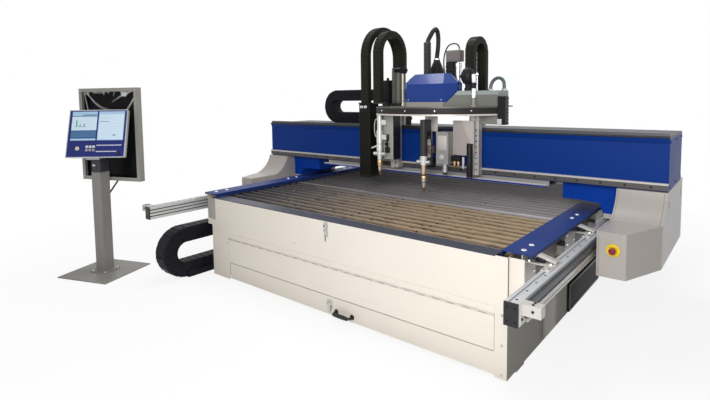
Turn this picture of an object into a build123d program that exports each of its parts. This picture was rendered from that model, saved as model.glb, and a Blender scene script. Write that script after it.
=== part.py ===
import os
from math import atan2, cos, degrees, pi, radians, sin, tan

from build123d import *

# Table skin
TABLE_W = 2754.0
TABLE_D = 2600.0
TABLE_H = 713.0
SHEET = 5.0
FOOT_T = 12.0
FOOT_SIDE = 120.0
FOOT_INSET = 200.0
FLANGE_W = 60.0
CORNER_W = 74.0
LIP_D = 120.0
LEDGE_DROP = 158.0
LEDGE_D = 60.0
END_FLAP_W = 85.0
END_FLAP_LOW = 253.0
END_FLAP_BACK = 15.0
END_FLAP_FOLD = 13.0
DUCT_START = 1130.0
DUCT_LENGTH = 800.0
DUCT_LOW = 40.0
DUCT_HIGH = 200.0

# Slag door and its piano hinge
DOOR_LEFT = 237.0
DOOR_GAP = 2.0
DOOR_T = 4.0
DOOR_BOTTOM = 22.0
DOOR_STEP_Z = 160.0
DOOR_STEP = 7.0
DOOR_RETURN = 40.0
HINGE_Z = 375.0
KNUCKLE_R = 6.0
PIN_R = 3.0
PIN_CLEAR = 0.05
KNUCKLE_COUNT = 24
KNUCKLE_GAP = 0.6
LEAF_T = 3.0
LEAF_H = 42.0
HANDLE_X = 182.0
HANDLE_SPAN = 146.0
HANDLE_Z = 58.0
HANDLE_REACH = 45.0
HANDLE_R = 8.0
HANDLE_BEND = 18.0
LATCH_X = 46.0
LATCH_Z = 108.0
LATCH_W = 26.0
LATCH_L = 62.0
LATCH_T = 9.0
LATCH_PIN_R = 3.0
LATCH_ROUND = 3.0
EAR_T = 5.0
EAR_H = 22.0
CATCH_X = 26.0
CATCH_DROP = 61.0
CATCH_H = 78.0
CATCH_REACH = 16.0

# Slat bed
SLAT_T = 5.0
SLAT_H = 95.0
SLAT_PITCH = 90.0
SLAT_DROP = 8.0
SLAT_END_GAP = 7.0
SLAT_FIRST = 150.0
COMB_T = 8.0
COMB_COUNT = 5
COMB_DROP = 15.0
COMB_INSET = 87.0
SLOT_CLEAR = 0.5
DIVIDER_T = 20.0
DIVIDER_STEP = 10
DIVIDER_RISE = 4.0
PAN_T = 4.0
PAN_H = 240.0
PAN_FLARE = 62.0
PAN_GAP = 6.0

# Side covers over the rails' brackets
COVER_IN = 45.0
COVER_OUT = 123.0
COVER_RISE = 32.0
COVER_T = 4.0
COVER_INNER_SKIRT = 32.0
COVER_OUTER_SKIRT = 20.0
COVER_END_GAP = 15.0

# Rails beside the table
RAIL_GAP = 180.0
RAIL_W = 67.0
RAIL_H = 108.0
RAIL_DROP = 27.0
RAIL_FRONT = 485.0
RAIL_BACK = 750.0
GROOVE_W = 9.0
GROOVE_D = 11.0
CAP_T = 8.0
GUIDE_W = 18.0
GUIDE_H = 28.0
GUIDE_DROP = 18.0
GUIDE_START = 80.0
RACK_W = 15.0
RACK_H = 26.0
RACK_DROP = 62.0
RACK_PITCH = 24.0
RACK_TOOTH = 7.0
RACK_LAND = 4.8
RACK_FLANK = 4.8
SHAFT_R = 8.0
STOP_REACH = 92.0
STOP_L = 62.0
STOP_H = 52.0
STOP_PLATE_H = 95.0
STOP_INSET = 5.0

# Brackets that tie the rails to the table
BRACKET_COUNT = 4
BRACKET_FIRST = 130.0
BRACKET_PITCH = 770.0
BRACKET_W = 200.0
BRACKET_T = 6.0
BRACKET_X = 63.0
BRACKET_DROP = 166.0
BRACKET_ARM_H = 60.0
BRACKET_TOP_W = 130.0
BRACKET_TOP_REACH = 46.0
BRACKET_HOLE_R = 7.0
BRACKET_HOLE_PITCH = 70.0

# Gantry beam, its guides and its tray
GANTRY_Y = 1231.0
BEAM_OVERHANG = 582.0
BEAM_D = 620.0
BEAM_RISE = 259.0
BEAM_H = 353.0
BEAM_WALL = 8.0
BEAM_BAND_H = 30.0
BEAM_BAND_D = 12.0
BEAM_CAP_T = 12.0
TOP_STRIP_T = 16.0
TOP_STRIP_LIP = 16.0
TOP_STRIP_EDGE = 3.2
LEDGE_BAR_D = 26.0
LEDGE_BAR_H = 13.0
LEDGE_BAR_RISE = 45.0
LOW_GUIDE_D = 19.0
LOW_GUIDE_H = 36.0
UP_GUIDE_W = 30.0
UP_GUIDE_H = 20.0
UP_GUIDE_Y = 3.0
TRAY_LEFT_GAP = 280.0
TRAY_RIGHT_GAP = 194.0
TRAY_FRONT = 41.0
TRAY_D = 260.0
TRAY_T = 5.0
TRAY_DROP = 45.0
TRAY_LIP = 24.0
TRAY_HANGER_Y = 30.0

# Gantry legs, trucks and end housings
LEG_IN = 105.0
LEG_START = 69.0
LEG_D = 500.0
LEG_ARCH_RISE = 129.0
LEG_FOOT_RISE = 49.0
LEG_FOOT_IN = 176.0
LEG_ARCH_IN = 35.0
LEG_KNEE_W = 24.0
LEG_KNEE_H = 12.0
LEG_WALL = 8.0
TRUCK_L = 180.0
TRUCK_T = 35.0
TRUCK_CLEAR = 0.4
TRUCK_LIP_LOW = 4.0
HOUSING_IN = 283.0
HOUSING_FRONT = 551.0
HOUSING_BACK = 754.0
HOUSING_DROP = 206.0
HOUSING_SHELF_RISE = 75.0
HOUSING_NOSE_W = 163.0
HOUSING_CORNER_D = 350.0
HOUSING_NECK = 40.0
HOUSING_NECK_BULGE = 88.0
HOUSING_NECK_RISE = 164.0
HOUSING_NECK_FOOT = 221.0
HOUSING_WALL = 3.0
SLOT_W = 34.0
SLOT_H = 52.0
SLOT_DEPTH = 1.5
SLOT_RISE = 164.0
SLOT_FRONT_Y = 30.0
SLOT_BACK_Y = 640.0
STOP_X = 376.0
STOP_DROP = 31.0
COLLAR_R = 39.0
COLLAR_T = 9.0
COLLAR_ROUND = 3.0
BUTTON_R = 20.0
BUTTON_STEM_R = 11.0
BUTTON_H = 24.0
BUTTON_ROUND = 6.0
BUTTON_CLEAR = 0.4
BUTTON_TRAVEL = 7.0

# Energy chains
LINK_NOTCH = 5.0
LINK_NOTCH_D = 7.0
Y_CHAIN_IN = 133.0
Y_CHAIN_W = 150.0
Y_CHAIN_H = 135.0
CHAIN_ARM_H = 24.4
Y_CHAIN_FRONT = 180.0
Y_CHAIN_LOWER = 1700.0
Y_CHAIN_UPPER = 1430.0
Y_CHAIN_PITCH = 110.0
TROUGH_T = 5.0
TROUGH_WALL = 60.0
TROUGH_CLEAR = 6.0
CHAIN_SEAT = 0.3
CHAIN_ARM_L = 110.0
X_CHAIN_Y = 309.0
X_CHAIN_W = 150.0
X_CHAIN_H = 118.0
X_CHAIN_R = 121.0
X_CHAIN_LEFT = -1227.0
X_CHAIN_LOWER = 890.0
X_CHAIN_UPPER = 1077.0
X_CHAIN_PITCH = 96.0
LIFT_CHAIN_W = 95.0
LIFT_CHAIN_H = 64.0
LIFT_CHAIN_PITCH = 48.0
COLUMN_CHAIN_FRONT = -238.0
COLUMN_CHAIN_REAR = 269.0
COLUMN_CHAIN_RISE = 450.0
LIFTER_CHAIN_X = -479.0
LIFTER_CHAIN_REAR = 134.0
LIFTER_CHAIN_RISE = 468.0
MARKER_CHAIN_X = 308.0
MARKER_CHAIN_FRONT = -19.0
MARKER_CHAIN_REAR = 201.0
MARKER_CHAIN_RISE = 438.0

# Carriage on the beam
CARRIAGE_X = 245.0
POST_W = 85.0
POST_D = 60.0
POST_Y = -91.0
POST_LEFT = -412.0
POST_RIGHT = 373.0
POST_RISE = 5.0
POST_HOLE_R = 7.0
POST_HOLE_PITCH = 46.0
POST_HOLE_ROWS = 8
ROLLER_CLEAR = 0.3
ROLLER_H = 30.0
PLATE_RISE = 186.0
PLATE_T = 10.0
PLATE_LEFT = -436.0
PLATE_RIGHT = 558.0
PLATE_BACK = 249.0
PLATE_CORNER_Y = -331.0
PLATE_RIGHT_Y = -46.0
PLATE_BOW_X = 116.0
PLATE_BOW_Y = -380.0
NOTCH_X = -380.0
NOTCH_Y = -283.0
WING_LEFT = -675.0
WING_FRONT = -111.0
WING_BACK = 459.0
WING_RIGHT = -395.0
SKIRT_H = 50.0
SKIRT_T = 4.0
LIP_H = 13.0
LIP_OUT = 9.0
PLINTH_H = 38.0
COVER_X0 = -222.0
COVER_X1 = 292.0
COVER_Y0 = -301.0
COVER_Y1 = -56.0
MOTOR_COVER_H = 232.0
MOTOR_COVER_CORNER = 85.0
MOTOR_COVER_SLOPE = 88.0
MOTOR_COVER_CROWN = 84.0
MOTOR_COVER_WALL = 4.0
BOX_LEFT = 238.0
BOX_Y0 = -46.0
BOX_D = 200.0
BOX_H = 125.0
BOX_WALL = 4.0
GUSSET_T = 8.0
CHEEK_X = 207.0
CHEEK_Y = -315.0
CHEEK_T = 6.0
MOTOR_W = 64.0
MOTOR_D = 70.0
MOTOR_DROP = 137.0
MOTOR_H = 216.0
MOTOR_Y0 = -61.0
FIN_COUNT = 7
FIN_DEPTH = 5.0
FIN_W = 8.0

# Pieces standing on the carriage
MAST_X = -490.0
MAST_Y = 99.0
MAST_R = 66.0
MAST_H = 354.0
CONE_X = -118.0
CONE_Y = 165.0
CONE_R = 80.0
CONE_SHOULDER_H = 290.0
CONE_H = 410.0
CONE_NECK_R = 26.0
SERVO_X0 = 48.0
SERVO_X1 = 118.0
SERVO_Y0 = 29.0
SERVO_Y1 = 109.0
SERVO_H = 377.0
SERVO_HEAD_W = 134.0
SERVO_HEAD_H = 98.0
CYLINDER_X = 152.0
CYLINDER_Y = 62.0
CYLINDER_R = 29.0
CYLINDER_H = 367.0
PISTON_X = 415.0
PISTON_Y = -186.0
PISTON_R = 20.0
PISTON_H = 255.0

# Cables on the carriage
CONDUIT_X = -135.0
CONDUIT_Y = 29.0
CONDUIT_R = 34.0
CONDUIT_ROOT_R = 29.0
CONDUIT_BORE_R = 22.0
CONDUIT_H = 560.0
CONDUIT_PLAIN_H = 230.0
CONDUIT_RIB_PITCH = 16.5
CONDUIT_RIB_FLANK = 4.1
CONDUIT_RIB_CREST = 5.8
HOSE_R = 20.0
CABLE_R = 6.0
LOOP_R = 14.0
CORD_ARC_SHARE = 0.45

# Tools below the station plate
SLIDE_T = 20.0
COLUMN_X = -619.0
COLUMN_W = 129.0
COLUMN_D = 140.0
COLUMN_Y = -271.0
COLUMN_RISE = 23.0
COLUMN_H = 665.0
COLUMN_SLIDE_W = 60.0
COLUMN_SLIDE_H = 360.0
COLUMN_WALL = 12.0
COLUMN_HEAD_T = 12.0
SLIDE_CLEAR = 0.3
LIFTER_X0 = -439.0
LIFTER_X1 = -330.0
LIFTER_D = 118.0
LIFTER_DROP = 70.0
LIFTER_H = 400.0
LIFTER_MAST_W = 44.0
LIFTER_MAST_D = 24.0
TORCH_LEFT_X = -452.0
TORCH_LEFT_Y = -261.0
TORCH_LEFT_DROP = 74.0
TORCH_LEFT_H = 536.0
TORCH_CENTRE_X = -2.0
TORCH_CENTRE_Y = -251.0
TORCH_CENTRE_DROP = 110.0
TORCH_CENTRE_H = 610.0
TORCH_R = 24.0
NOZZLE_R = 21.0
NOZZLE_TIP_R = 7.0
NOZZLE_NECK_R = 16.8
NOZZLE_H = 165.0
NOZZLE_CENTRE_H = 232.0
NOZZLE_TAPER_H = 41.0
NOZZLE_NECK_H = 41.0
NOZZLE_FLARE_H = 9.0
CLAMP_ARM = 62.0
CLAMP_R = 17.0
CLAMP_H = 44.0
HOLDER_PITCH = 132.0
CENTRE_TUBE_R = 30.0
CENTRE_BACK_D = 40.0
CENTRE_SHOE_H = 160.0
CENTRE_SLIDE_H = 440.0
MARKER_PLATE_X0 = 205.0
MARKER_PLATE_X1 = 395.0
MARKER_PLATE_T = 18.0
MARKER_PLATE_DROP = 117.0
MARKER_PLATE_H = 284.0
MARKER_BOX_X0 = 93.0
MARKER_BOX_DROP = 210.0
MARKER_BOX_H = 265.0
MARKER_BOX_D = 100.0
SPINDLE_R = 18.0
SPINDLE_L = 93.0
ROD_X = 363.0
ROD_R = 22.0
ROD_DROP = 300.0
ROD_H = 280.0

# Operator console
CONSOLE_X = -2278.0
CONSOLE_Y = -1871.0
CONSOLE_TURN = 21.0
BASE_SIDE = 550.0
BASE_T = 10.0
BASE_EDGE = 3.3
COLUMN_SIDE = 104.0
COLUMN_TUBE_T = 5.0
COLUMN_FLANGE = 175.0
COLUMN_FLANGE_T = 8.0
COLLAR_LOW = 945.0
COLLAR_HIGH = 1066.0
HEAD_SIDE = 50.0
PIVOT_R = 25.0
HEAD_HIGH = 1400.0
HOOD_W = 684.0
HOOD_LOW = 838.0
HOOD_HIGH = 1710.0
HOOD_D = 60.0
HOOD_WALL = 4.0
HOOD_RIM = 34.0
HOOD_FRONT = 120.0
LINER_T = 6.0
BRACE_R = 8.0
BRACE_LOW = 690.0
BRACE_X = 55.0
PANEL_TURN = 39.57
PANEL_TILT = 16.0
PANEL_W = 521.0
PANEL_H = 432.0
PANEL_D = 42.0
PANEL_REACH = 118.0
PANEL_SIDE = 48.0
PANEL_Z = 1301.0
PANEL_CORNER = 8.0
YOKE_W = 120.0
YOKE_H = 150.0
YOKE_BACK = 45.0
YOKE_FRONT = 125.0
YOKE_CLEAR = 0.3
SCREEN_W = 480.0
SCREEN_H = 272.0
SCREEN_T = 4.0
SCREEN_RISE = 70.0
SCREEN_DEPTH = 2.0
KEY_SIDE = 22.0
KEY_PITCH = 30.0
KEY_X = -75.0
KEY_Y = -136.0
KEY_H = 8.0
KEY_CORNER = 2.75
KEY_CLEAR = 0.4
KEY_TRAVEL = 3.0
KEY_POCKET = 14.0
DIAL_X = -160.0
DIAL_R = 17.0
KNOB_X = 205.0
KNOB_Y = -185.0
KNOB_R = 13.0
KNOB_H = 16.0
KNOB_SIDES = 12
STEM_R = 5.0

# Values that follow from the sizes above
HALF_W = TABLE_W / 2
FRONT_Y = -TABLE_D / 2
BACK_Y = TABLE_D / 2
RAIL_IN = HALF_W + RAIL_GAP
RAIL_OUT = RAIL_IN + RAIL_W
RAIL_Y0 = FRONT_Y - RAIL_FRONT
RAIL_Y1 = BACK_Y + RAIL_BACK
RAIL_TOP = TABLE_H - RAIL_DROP
RAIL_BOTTOM = RAIL_TOP - RAIL_H
LEDGE_Z = TABLE_H - LEDGE_DROP
CATCH_Z = TABLE_H - CATCH_DROP
COVER_TOP = TABLE_H + COVER_RISE
BRACKET_LOW = RAIL_TOP - BRACKET_DROP
SLAT_TOP = TABLE_H - SLAT_DROP
SLAT_BOTTOM = SLAT_TOP - SLAT_H
COMB_TOP = SLAT_TOP - COMB_DROP
COMB_BOTTOM = LEDGE_Z + SHEET
BEAM_FRONT = FRONT_Y + GANTRY_Y
BEAM_BACK = BEAM_FRONT + BEAM_D
BEAM_END = HALF_W + BEAM_OVERHANG
HOUSING_X = HALF_W + HOUSING_IN
BEAM_BOTTOM = RAIL_TOP + BEAM_RISE
BEAM_TOP = BEAM_BOTTOM + BEAM_H
STRIP_TOP = BEAM_TOP + TOP_STRIP_T
LEDGE_BAR_Z = BEAM_BOTTOM + LEDGE_BAR_RISE
TRAY_LEFT = TRAY_LEFT_GAP - HALF_W
TRAY_RIGHT = HALF_W - TRAY_RIGHT_GAP
TRAY_Z = BEAM_BOTTOM - TRAY_DROP
LEG_ARCH_Z = RAIL_TOP + LEG_ARCH_RISE
LEG_FOOT_Z = RAIL_TOP + LEG_FOOT_RISE
HOUSING_BOTTOM = RAIL_TOP - HOUSING_DROP
HOUSING_SHELF = RAIL_TOP + HOUSING_SHELF_RISE
HOUSING_NECK_MID_Z = RAIL_TOP + HOUSING_NECK_RISE
SLOT_Z = RAIL_TOP + SLOT_RISE
STOP_Z = RAIL_TOP - STOP_DROP
CHAIN_TOP = HOUSING_BOTTOM - CHAIN_ARM_H - CHAIN_SEAT
Y_CHAIN_R = (CHAIN_TOP - TROUGH_T - CHAIN_SEAT - Y_CHAIN_H) / 2
PLATE_Z = STRIP_TOP + PLATE_RISE
PLATE_TOP = PLATE_Z + PLATE_T
POST_BOTTOM = BEAM_BOTTOM + POST_RISE
MOTOR_LOW = PLATE_Z - MOTOR_DROP
MOTOR_HIGH = MOTOR_LOW + MOTOR_H
BOX_TOP = PLATE_TOP + BOX_H
MAST_TOP = PLATE_TOP + MAST_H
CONE_TOP = PLATE_TOP + CONE_H
SERVO_TOP = PLATE_TOP + SERVO_H
COLUMN_TOP = PLATE_TOP + COLUMN_RISE
COLUMN_BOTTOM = COLUMN_TOP - COLUMN_H
LIFTER_HIGH = PLATE_TOP - LIFTER_DROP
TORCH_LEFT_TOP = PLATE_TOP - TORCH_LEFT_DROP
TORCH_CENTRE_TOP = PLATE_TOP - TORCH_CENTRE_DROP
MARKER_PLATE_HIGH = PLATE_TOP - MARKER_PLATE_DROP
MARKER_BOX_HIGH = PLATE_TOP - MARKER_BOX_DROP
MARKER_BOX_LOW = MARKER_BOX_HIGH - MARKER_BOX_H
ROD_HIGH = PLATE_TOP - ROD_DROP
DOOR_X0 = -HALF_W + DOOR_LEFT
DOOR_X1 = HALF_W - CORNER_W
SLAT_COUNT = int((TABLE_D - SLAT_FIRST - SLAT_PITCH) // SLAT_PITCH) + 1
SLAT_ROWS = [FRONT_Y + SLAT_FIRST + SLAT_PITCH * k for k in range(SLAT_COUNT)]
DIVIDER_Y = SLAT_ROWS[DIVIDER_STEP]
POST_FRONT = BEAM_FRONT + POST_Y
POST_BACK = POST_FRONT + POST_D
SIDES = (-1, 1)


def outline(plane, points):
    """Closed straight-edged face drawn on a plane."""
    with BuildSketch(plane) as drawn:
        with BuildLine():
            Polyline(*points, close=True)
        make_face()
    return drawn.sketch


def block(x, y, z, mode=Mode.ADD):
    """Rectangular piece of the open part between low and high limits on each axis."""
    middle = ((x[0] + x[1]) / 2, (y[0] + y[1]) / 2, (z[0] + z[1]) / 2)
    with Locations(middle):
        Box(x[1] - x[0], y[1] - y[0], z[1] - z[0], mode=mode)


def post(x, y, z, radius, mode=Mode.ADD):
    """Upright round piece of the open part between two heights."""
    with Locations((x, y, (z[0] + z[1]) / 2)):
        Cylinder(radius, z[1] - z[0], mode=mode)


def lengthwise(x, y, z, radius, mode=Mode.ADD):
    """Round piece of the open part that lies along X."""
    with Locations(Location(((x[0] + x[1]) / 2, y, z), (0, 90, 0))):
        Cylinder(radius, x[1] - x[0], mode=mode)


def handed(side, inner, outer):
    """Low and high X of a piece that stands between two distances from the middle plane."""
    return (inner, outer) if side > 0 else (-outer, -inner)


def mirrored(side, points):
    """Points of an XZ outline turned to one side of the machine."""
    return [(side * x, z) for x, z in points]


def across(y):
    """Plane that faces back, on which an outline reads as X and Z."""
    return Plane(origin=(0, y, 0), x_dir=(1, 0, 0), z_dir=(0, -1, 0))


def chain_band(plane, radius, height, plus_run, minus_run, pitch):
    """Side view of an energy chain: a half-turn at the origin and two runs along the plane's X."""
    outer = radius + height / 2
    inner = radius - height / 2
    joints = int(pi * radius // pitch)
    with BuildSketch(plane) as band:
        Circle(outer)
        Circle(inner, mode=Mode.SUBTRACT)
        with Locations((outer, 0)):
            Rectangle(2 * outer, 2 * outer, mode=Mode.SUBTRACT)
        for level, run in ((radius, plus_run), (-radius, minus_run)):
            with Locations((run / 2, level)):
                Rectangle(run, height)
            marks = [pitch * (k + 0.5) for k in range(int(run // pitch))]
            with Locations(*[(mark, level + height / 2) for mark in marks]):
                Rectangle(LINK_NOTCH, 2 * LINK_NOTCH_D, mode=Mode.SUBTRACT)
            with Locations(*[(mark, level - height / 2) for mark in marks]):
                Rectangle(LINK_NOTCH, 2 * LINK_NOTCH_D, mode=Mode.SUBTRACT)
        with PolarLocations(outer, joints, start_angle=90 + 90 / joints, angular_range=180):
            Rectangle(2 * LINK_NOTCH_D, LINK_NOTCH, mode=Mode.SUBTRACT)
    return band.sketch


def cord_path(points):
    """Smooth route through chosen points, with each arc as large as its two runs allow."""
    corners = [Vector(*p) for p in points]
    radii = []
    for before, here, after in zip(corners, corners[1:], corners[2:]):
        turn = radians((here - before).get_angle(after - here))
        shorter = min((here - before).length, (after - here).length)
        radii.append(CORD_ARC_SHARE * shorter / tan(turn / 2))
    return FilletPolyline(*points, radius=radii)


def save(built, name):
    """Labels a finished piece and writes it."""
    built.part.label = name
    export_step(built.part, f"parts/{name}.step")


os.makedirs("parts", exist_ok=True)

# Table: side walls with front flaps, a back wall and the right-hand front corner of sheet, on welded pads
with BuildPart() as table_shell:
    skin = [
        (DOOR_X1, FRONT_Y),
        (HALF_W, FRONT_Y),
        (HALF_W, BACK_Y),
        (-HALF_W, BACK_Y),
        (-HALF_W, FRONT_Y + SHEET),
        (-HALF_W + SHEET, FRONT_Y + SHEET),
        (-HALF_W + SHEET, BACK_Y - SHEET),
        (HALF_W - SHEET, BACK_Y - SHEET),
        (HALF_W - SHEET, FRONT_Y + SHEET),
        (DOOR_X1, FRONT_Y + SHEET),
    ]
    extrude(outline(Plane.XY.offset(FOOT_T), skin), amount=TABLE_H - FOOT_T)
    flange = (FOOT_T, FOOT_T + SHEET)
    for side in SIDES:
        block(handed(side, HALF_W - FLANGE_W, HALF_W - SHEET), (FRONT_Y + SHEET, BACK_Y - SHEET), flange)
    inside = (-HALF_W + SHEET, HALF_W - SHEET)
    block(inside, (BACK_Y - FLANGE_W, BACK_Y - SHEET), flange)
    block(inside, (BACK_Y - SHEET - LEDGE_D, BACK_Y - SHEET), (LEDGE_Z, LEDGE_Z + SHEET))
    duct_y = (FRONT_Y + DUCT_START, FRONT_Y + DUCT_START + DUCT_LENGTH)
    block((HALF_W - 2 * SHEET, HALF_W + SHEET), duct_y, (DUCT_LOW, DUCT_HIGH), Mode.SUBTRACT)
    pad_rows = [FRONT_Y + FOOT_INSET, 0, BACK_Y - FOOT_INSET]
    pad_x = HALF_W - FOOT_SIDE / 2
    with Locations(*[(side * pad_x, y, FOOT_T / 2) for side in SIDES for y in pad_rows]):
        Box(FOOT_SIDE, FOOT_SIDE, FOOT_T)
    half = FOOT_SIDE / 2
    block((-half, half), (-half, half), (0, FOOT_T + SHEET))
    flap_y = (FRONT_Y + END_FLAP_BACK, FRONT_Y + END_FLAP_BACK + SHEET)
    flap_z = (TABLE_H - END_FLAP_LOW, TABLE_H)
    flap_end = HALF_W + END_FLAP_W
    for side in SIDES:
        block(handed(side, HALF_W, flap_end), flap_y, flap_z)
        block(handed(side, flap_end - SHEET, flap_end), (flap_y[0], flap_y[0] + END_FLAP_FOLD), flap_z)
save(table_shell, "table_shell")

# Front sheet with its folded lip, its shelf for the slat combs and the door opening
with BuildPart() as front_panel:
    folded = [
        (FRONT_Y, FOOT_T),
        (FRONT_Y, TABLE_H),
        (FRONT_Y + LIP_D, TABLE_H),
        (FRONT_Y + LIP_D, TABLE_H - SHEET),
        (FRONT_Y + SHEET, TABLE_H - SHEET),
        (FRONT_Y + SHEET, LEDGE_Z + SHEET),
        (FRONT_Y + SHEET + LEDGE_D, LEDGE_Z + SHEET),
        (FRONT_Y + SHEET + LEDGE_D, LEDGE_Z),
        (FRONT_Y + SHEET, LEDGE_Z),
        (FRONT_Y + SHEET, FOOT_T),
    ]
    extrude(outline(Plane.YZ.offset(-HALF_W), folded), amount=DOOR_X1 + HALF_W)
    wall_y = (FRONT_Y + SHEET, FRONT_Y + LIP_D)
    block((-HALF_W, -HALF_W + SHEET), wall_y, (FOOT_T, TABLE_H), Mode.SUBTRACT)
    opening_top = HINGE_Z + KNUCKLE_R
    block((DOOR_X0, DOOR_X1), (FRONT_Y, FRONT_Y + SHEET), (FOOT_T, opening_top), Mode.SUBTRACT)
save(front_panel, "front_panel")

# Slag door with a joggled lower half and its own share of the hinge knuckles
knuckle_l = (DOOR_X1 - DOOR_X0) / KNUCKLE_COUNT
hinge_y = FRONT_Y - KNUCKLE_R
door_top = HINGE_Z - KNUCKLE_R - KNUCKLE_GAP
door_face = FRONT_Y + DOOR_STEP


def knuckles(first):
    """Every second barrel of the hinge, from the first or the second place."""
    for k in range(first, KNUCKLE_COUNT, 2):
        low = DOOR_X0 + knuckle_l * k + KNUCKLE_GAP / 2
        high = DOOR_X0 + knuckle_l * (k + 1) - KNUCKLE_GAP / 2
        lengthwise((low, high), hinge_y, HINGE_Z, KNUCKLE_R)
        reach = (HINGE_Z, HINGE_Z + KNUCKLE_R) if first else (door_top, HINGE_Z)
        block((low, high), (FRONT_Y - LEAF_T, FRONT_Y), reach)


with BuildPart() as slag_door:
    joggle = [
        (FRONT_Y, door_top),
        (FRONT_Y, DOOR_STEP_Z + DOOR_STEP),
        (door_face, DOOR_STEP_Z),
        (door_face, DOOR_BOTTOM),
        (door_face + DOOR_RETURN, DOOR_BOTTOM),
        (door_face + DOOR_RETURN, DOOR_BOTTOM + DOOR_T),
        (door_face + DOOR_T, DOOR_BOTTOM + DOOR_T),
        (door_face + DOOR_T, DOOR_STEP_Z),
        (FRONT_Y + DOOR_T, DOOR_STEP_Z + DOOR_STEP),
        (FRONT_Y + DOOR_T, door_top),
    ]
    width = DOOR_X1 - DOOR_X0 - 2 * DOOR_GAP
    extrude(outline(Plane.YZ.offset(DOOR_X0 + DOOR_GAP), joggle), amount=width)
    leaf_x = (DOOR_X0 + DOOR_GAP, DOOR_X1 - DOOR_GAP)
    block(leaf_x, (FRONT_Y - LEAF_T, FRONT_Y), (door_top - LEAF_H, door_top))
    knuckles(0)
    lengthwise((DOOR_X0, DOOR_X1), hinge_y, HINGE_Z, PIN_R + PIN_CLEAR, Mode.SUBTRACT)
    for side in SIDES:
        ear_x = (LATCH_X + side * (LATCH_W + EAR_T) / 2) + side * KNUCKLE_GAP
        ear_y = (door_face - 2 * LATCH_T, door_face)
        ear_z = (LATCH_Z - EAR_H / 2, LATCH_Z + EAR_H / 2)
        block((ear_x - EAR_T / 2, ear_x + EAR_T / 2), ear_y, ear_z)
    ears_x = (LATCH_X - LATCH_W, LATCH_X + LATCH_W)
    lengthwise(ears_x, door_face - LATCH_T, LATCH_Z, LATCH_PIN_R + PIN_CLEAR, Mode.SUBTRACT)
save(slag_door, "slag_door")

# Fixed half of the piano hinge
with BuildPart() as piano_hinge:
    block((DOOR_X0, DOOR_X1), (FRONT_Y - LEAF_T, FRONT_Y), (opening_top, opening_top + LEAF_H))
    knuckles(1)
    lengthwise((DOOR_X0, DOOR_X1), hinge_y, HINGE_Z, PIN_R)
save(piano_hinge, "piano_hinge")

# Bow handle of the door
with BuildPart() as door_handle:
    with BuildLine() as bow:
        FilletPolyline(
            (HANDLE_X - HANDLE_SPAN / 2, door_face, HANDLE_Z),
            (HANDLE_X - HANDLE_SPAN / 2, door_face - HANDLE_REACH, HANDLE_Z),
            (HANDLE_X + HANDLE_SPAN / 2, door_face - HANDLE_REACH, HANDLE_Z),
            (HANDLE_X + HANDLE_SPAN / 2, door_face, HANDLE_Z),
            radius=HANDLE_BEND,
        )
    with BuildSketch(Plane(origin=bow.line @ 0, z_dir=(0, -1, 0))):
        Circle(HANDLE_R)
    sweep()
save(door_handle, "door_handle")

# Latch lever between its two ears on the door
with BuildPart() as latch_lever:
    lever_x = (LATCH_X - LATCH_W / 2, LATCH_X + LATCH_W / 2)
    lever_y = (door_face - LATCH_T - LATCH_T / 2, door_face - LATCH_T + LATCH_T / 2)
    block(lever_x, lever_y, (LATCH_Z - LATCH_L, LATCH_Z))
    lengthwise(lever_x, door_face - LATCH_T, LATCH_Z, LATCH_T / 2)
    pin_x = LATCH_W / 2 + KNUCKLE_GAP + EAR_T
    lengthwise((LATCH_X - pin_x, LATCH_X + pin_x), door_face - LATCH_T, LATCH_Z, LATCH_PIN_R)
    toe = latch_lever.edges().filter_by(Axis.X).group_by(Axis.Z)[0]
    fillet(toe, LATCH_ROUND)
save(latch_lever, "latch_lever")

# Catch that holds the raised door, on the fixed front sheet
with BuildPart() as door_catch:
    hook = [
        (FRONT_Y, CATCH_Z - CATCH_H / 2),
        (FRONT_Y, CATCH_Z + CATCH_H / 2),
        (FRONT_Y - CATCH_REACH, CATCH_Z + CATCH_H / 2),
        (FRONT_Y - CATCH_REACH, CATCH_Z + CATCH_H / 4),
        (FRONT_Y - CATCH_REACH / 2, CATCH_Z + CATCH_H / 8),
        (FRONT_Y - CATCH_REACH / 4, CATCH_Z - CATCH_H / 2),
    ]
    extrude(outline(Plane.YZ.offset(CATCH_X - LATCH_W / 2), hook), amount=LATCH_W)
save(door_catch, "door_catch")

# Cutting slats, standing on edge in the combs, and the bar between the front and rear zones
with BuildPart() as slats:
    slat_x = HALF_W - SHEET - SLAT_END_GAP
    rows = [y for y in SLAT_ROWS if y != DIVIDER_Y]
    with Locations(*[(0, y, (SLAT_BOTTOM + SLAT_TOP) / 2) for y in rows]):
        Box(2 * slat_x, SLAT_T, SLAT_H)
    bar_y = (DIVIDER_Y - DIVIDER_T / 2, DIVIDER_Y + DIVIDER_T / 2)
    block((-slat_x, slat_x), bar_y, (SLAT_BOTTOM, SLAT_TOP + DIVIDER_RISE))
save(slats, "slats")

# Slotted combs that hold the slats
with BuildPart() as slat_combs:
    comb_span = 2 * (HALF_W - COMB_INSET)
    comb_x = [-comb_span / 2 + comb_span * k / (COMB_COUNT - 1) for k in range(COMB_COUNT)]
    comb_y = (FRONT_Y + 2 * SHEET, BACK_Y - 2 * SHEET)
    for x in comb_x:
        block((x - COMB_T / 2, x + COMB_T / 2), comb_y, (COMB_BOTTOM, COMB_TOP))
    slot_h = COMB_TOP - SLAT_BOTTOM + 2 * SLOT_CLEAR
    for y in SLAT_ROWS:
        with Locations((0, y, SLAT_BOTTOM + slot_h / 2)):
            wide = DIVIDER_T if y == DIVIDER_Y else SLAT_T
            Box(TABLE_W, wide + 2 * SLOT_CLEAR, slot_h, mode=Mode.SUBTRACT)
save(slat_combs, "slat_combs")

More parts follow.
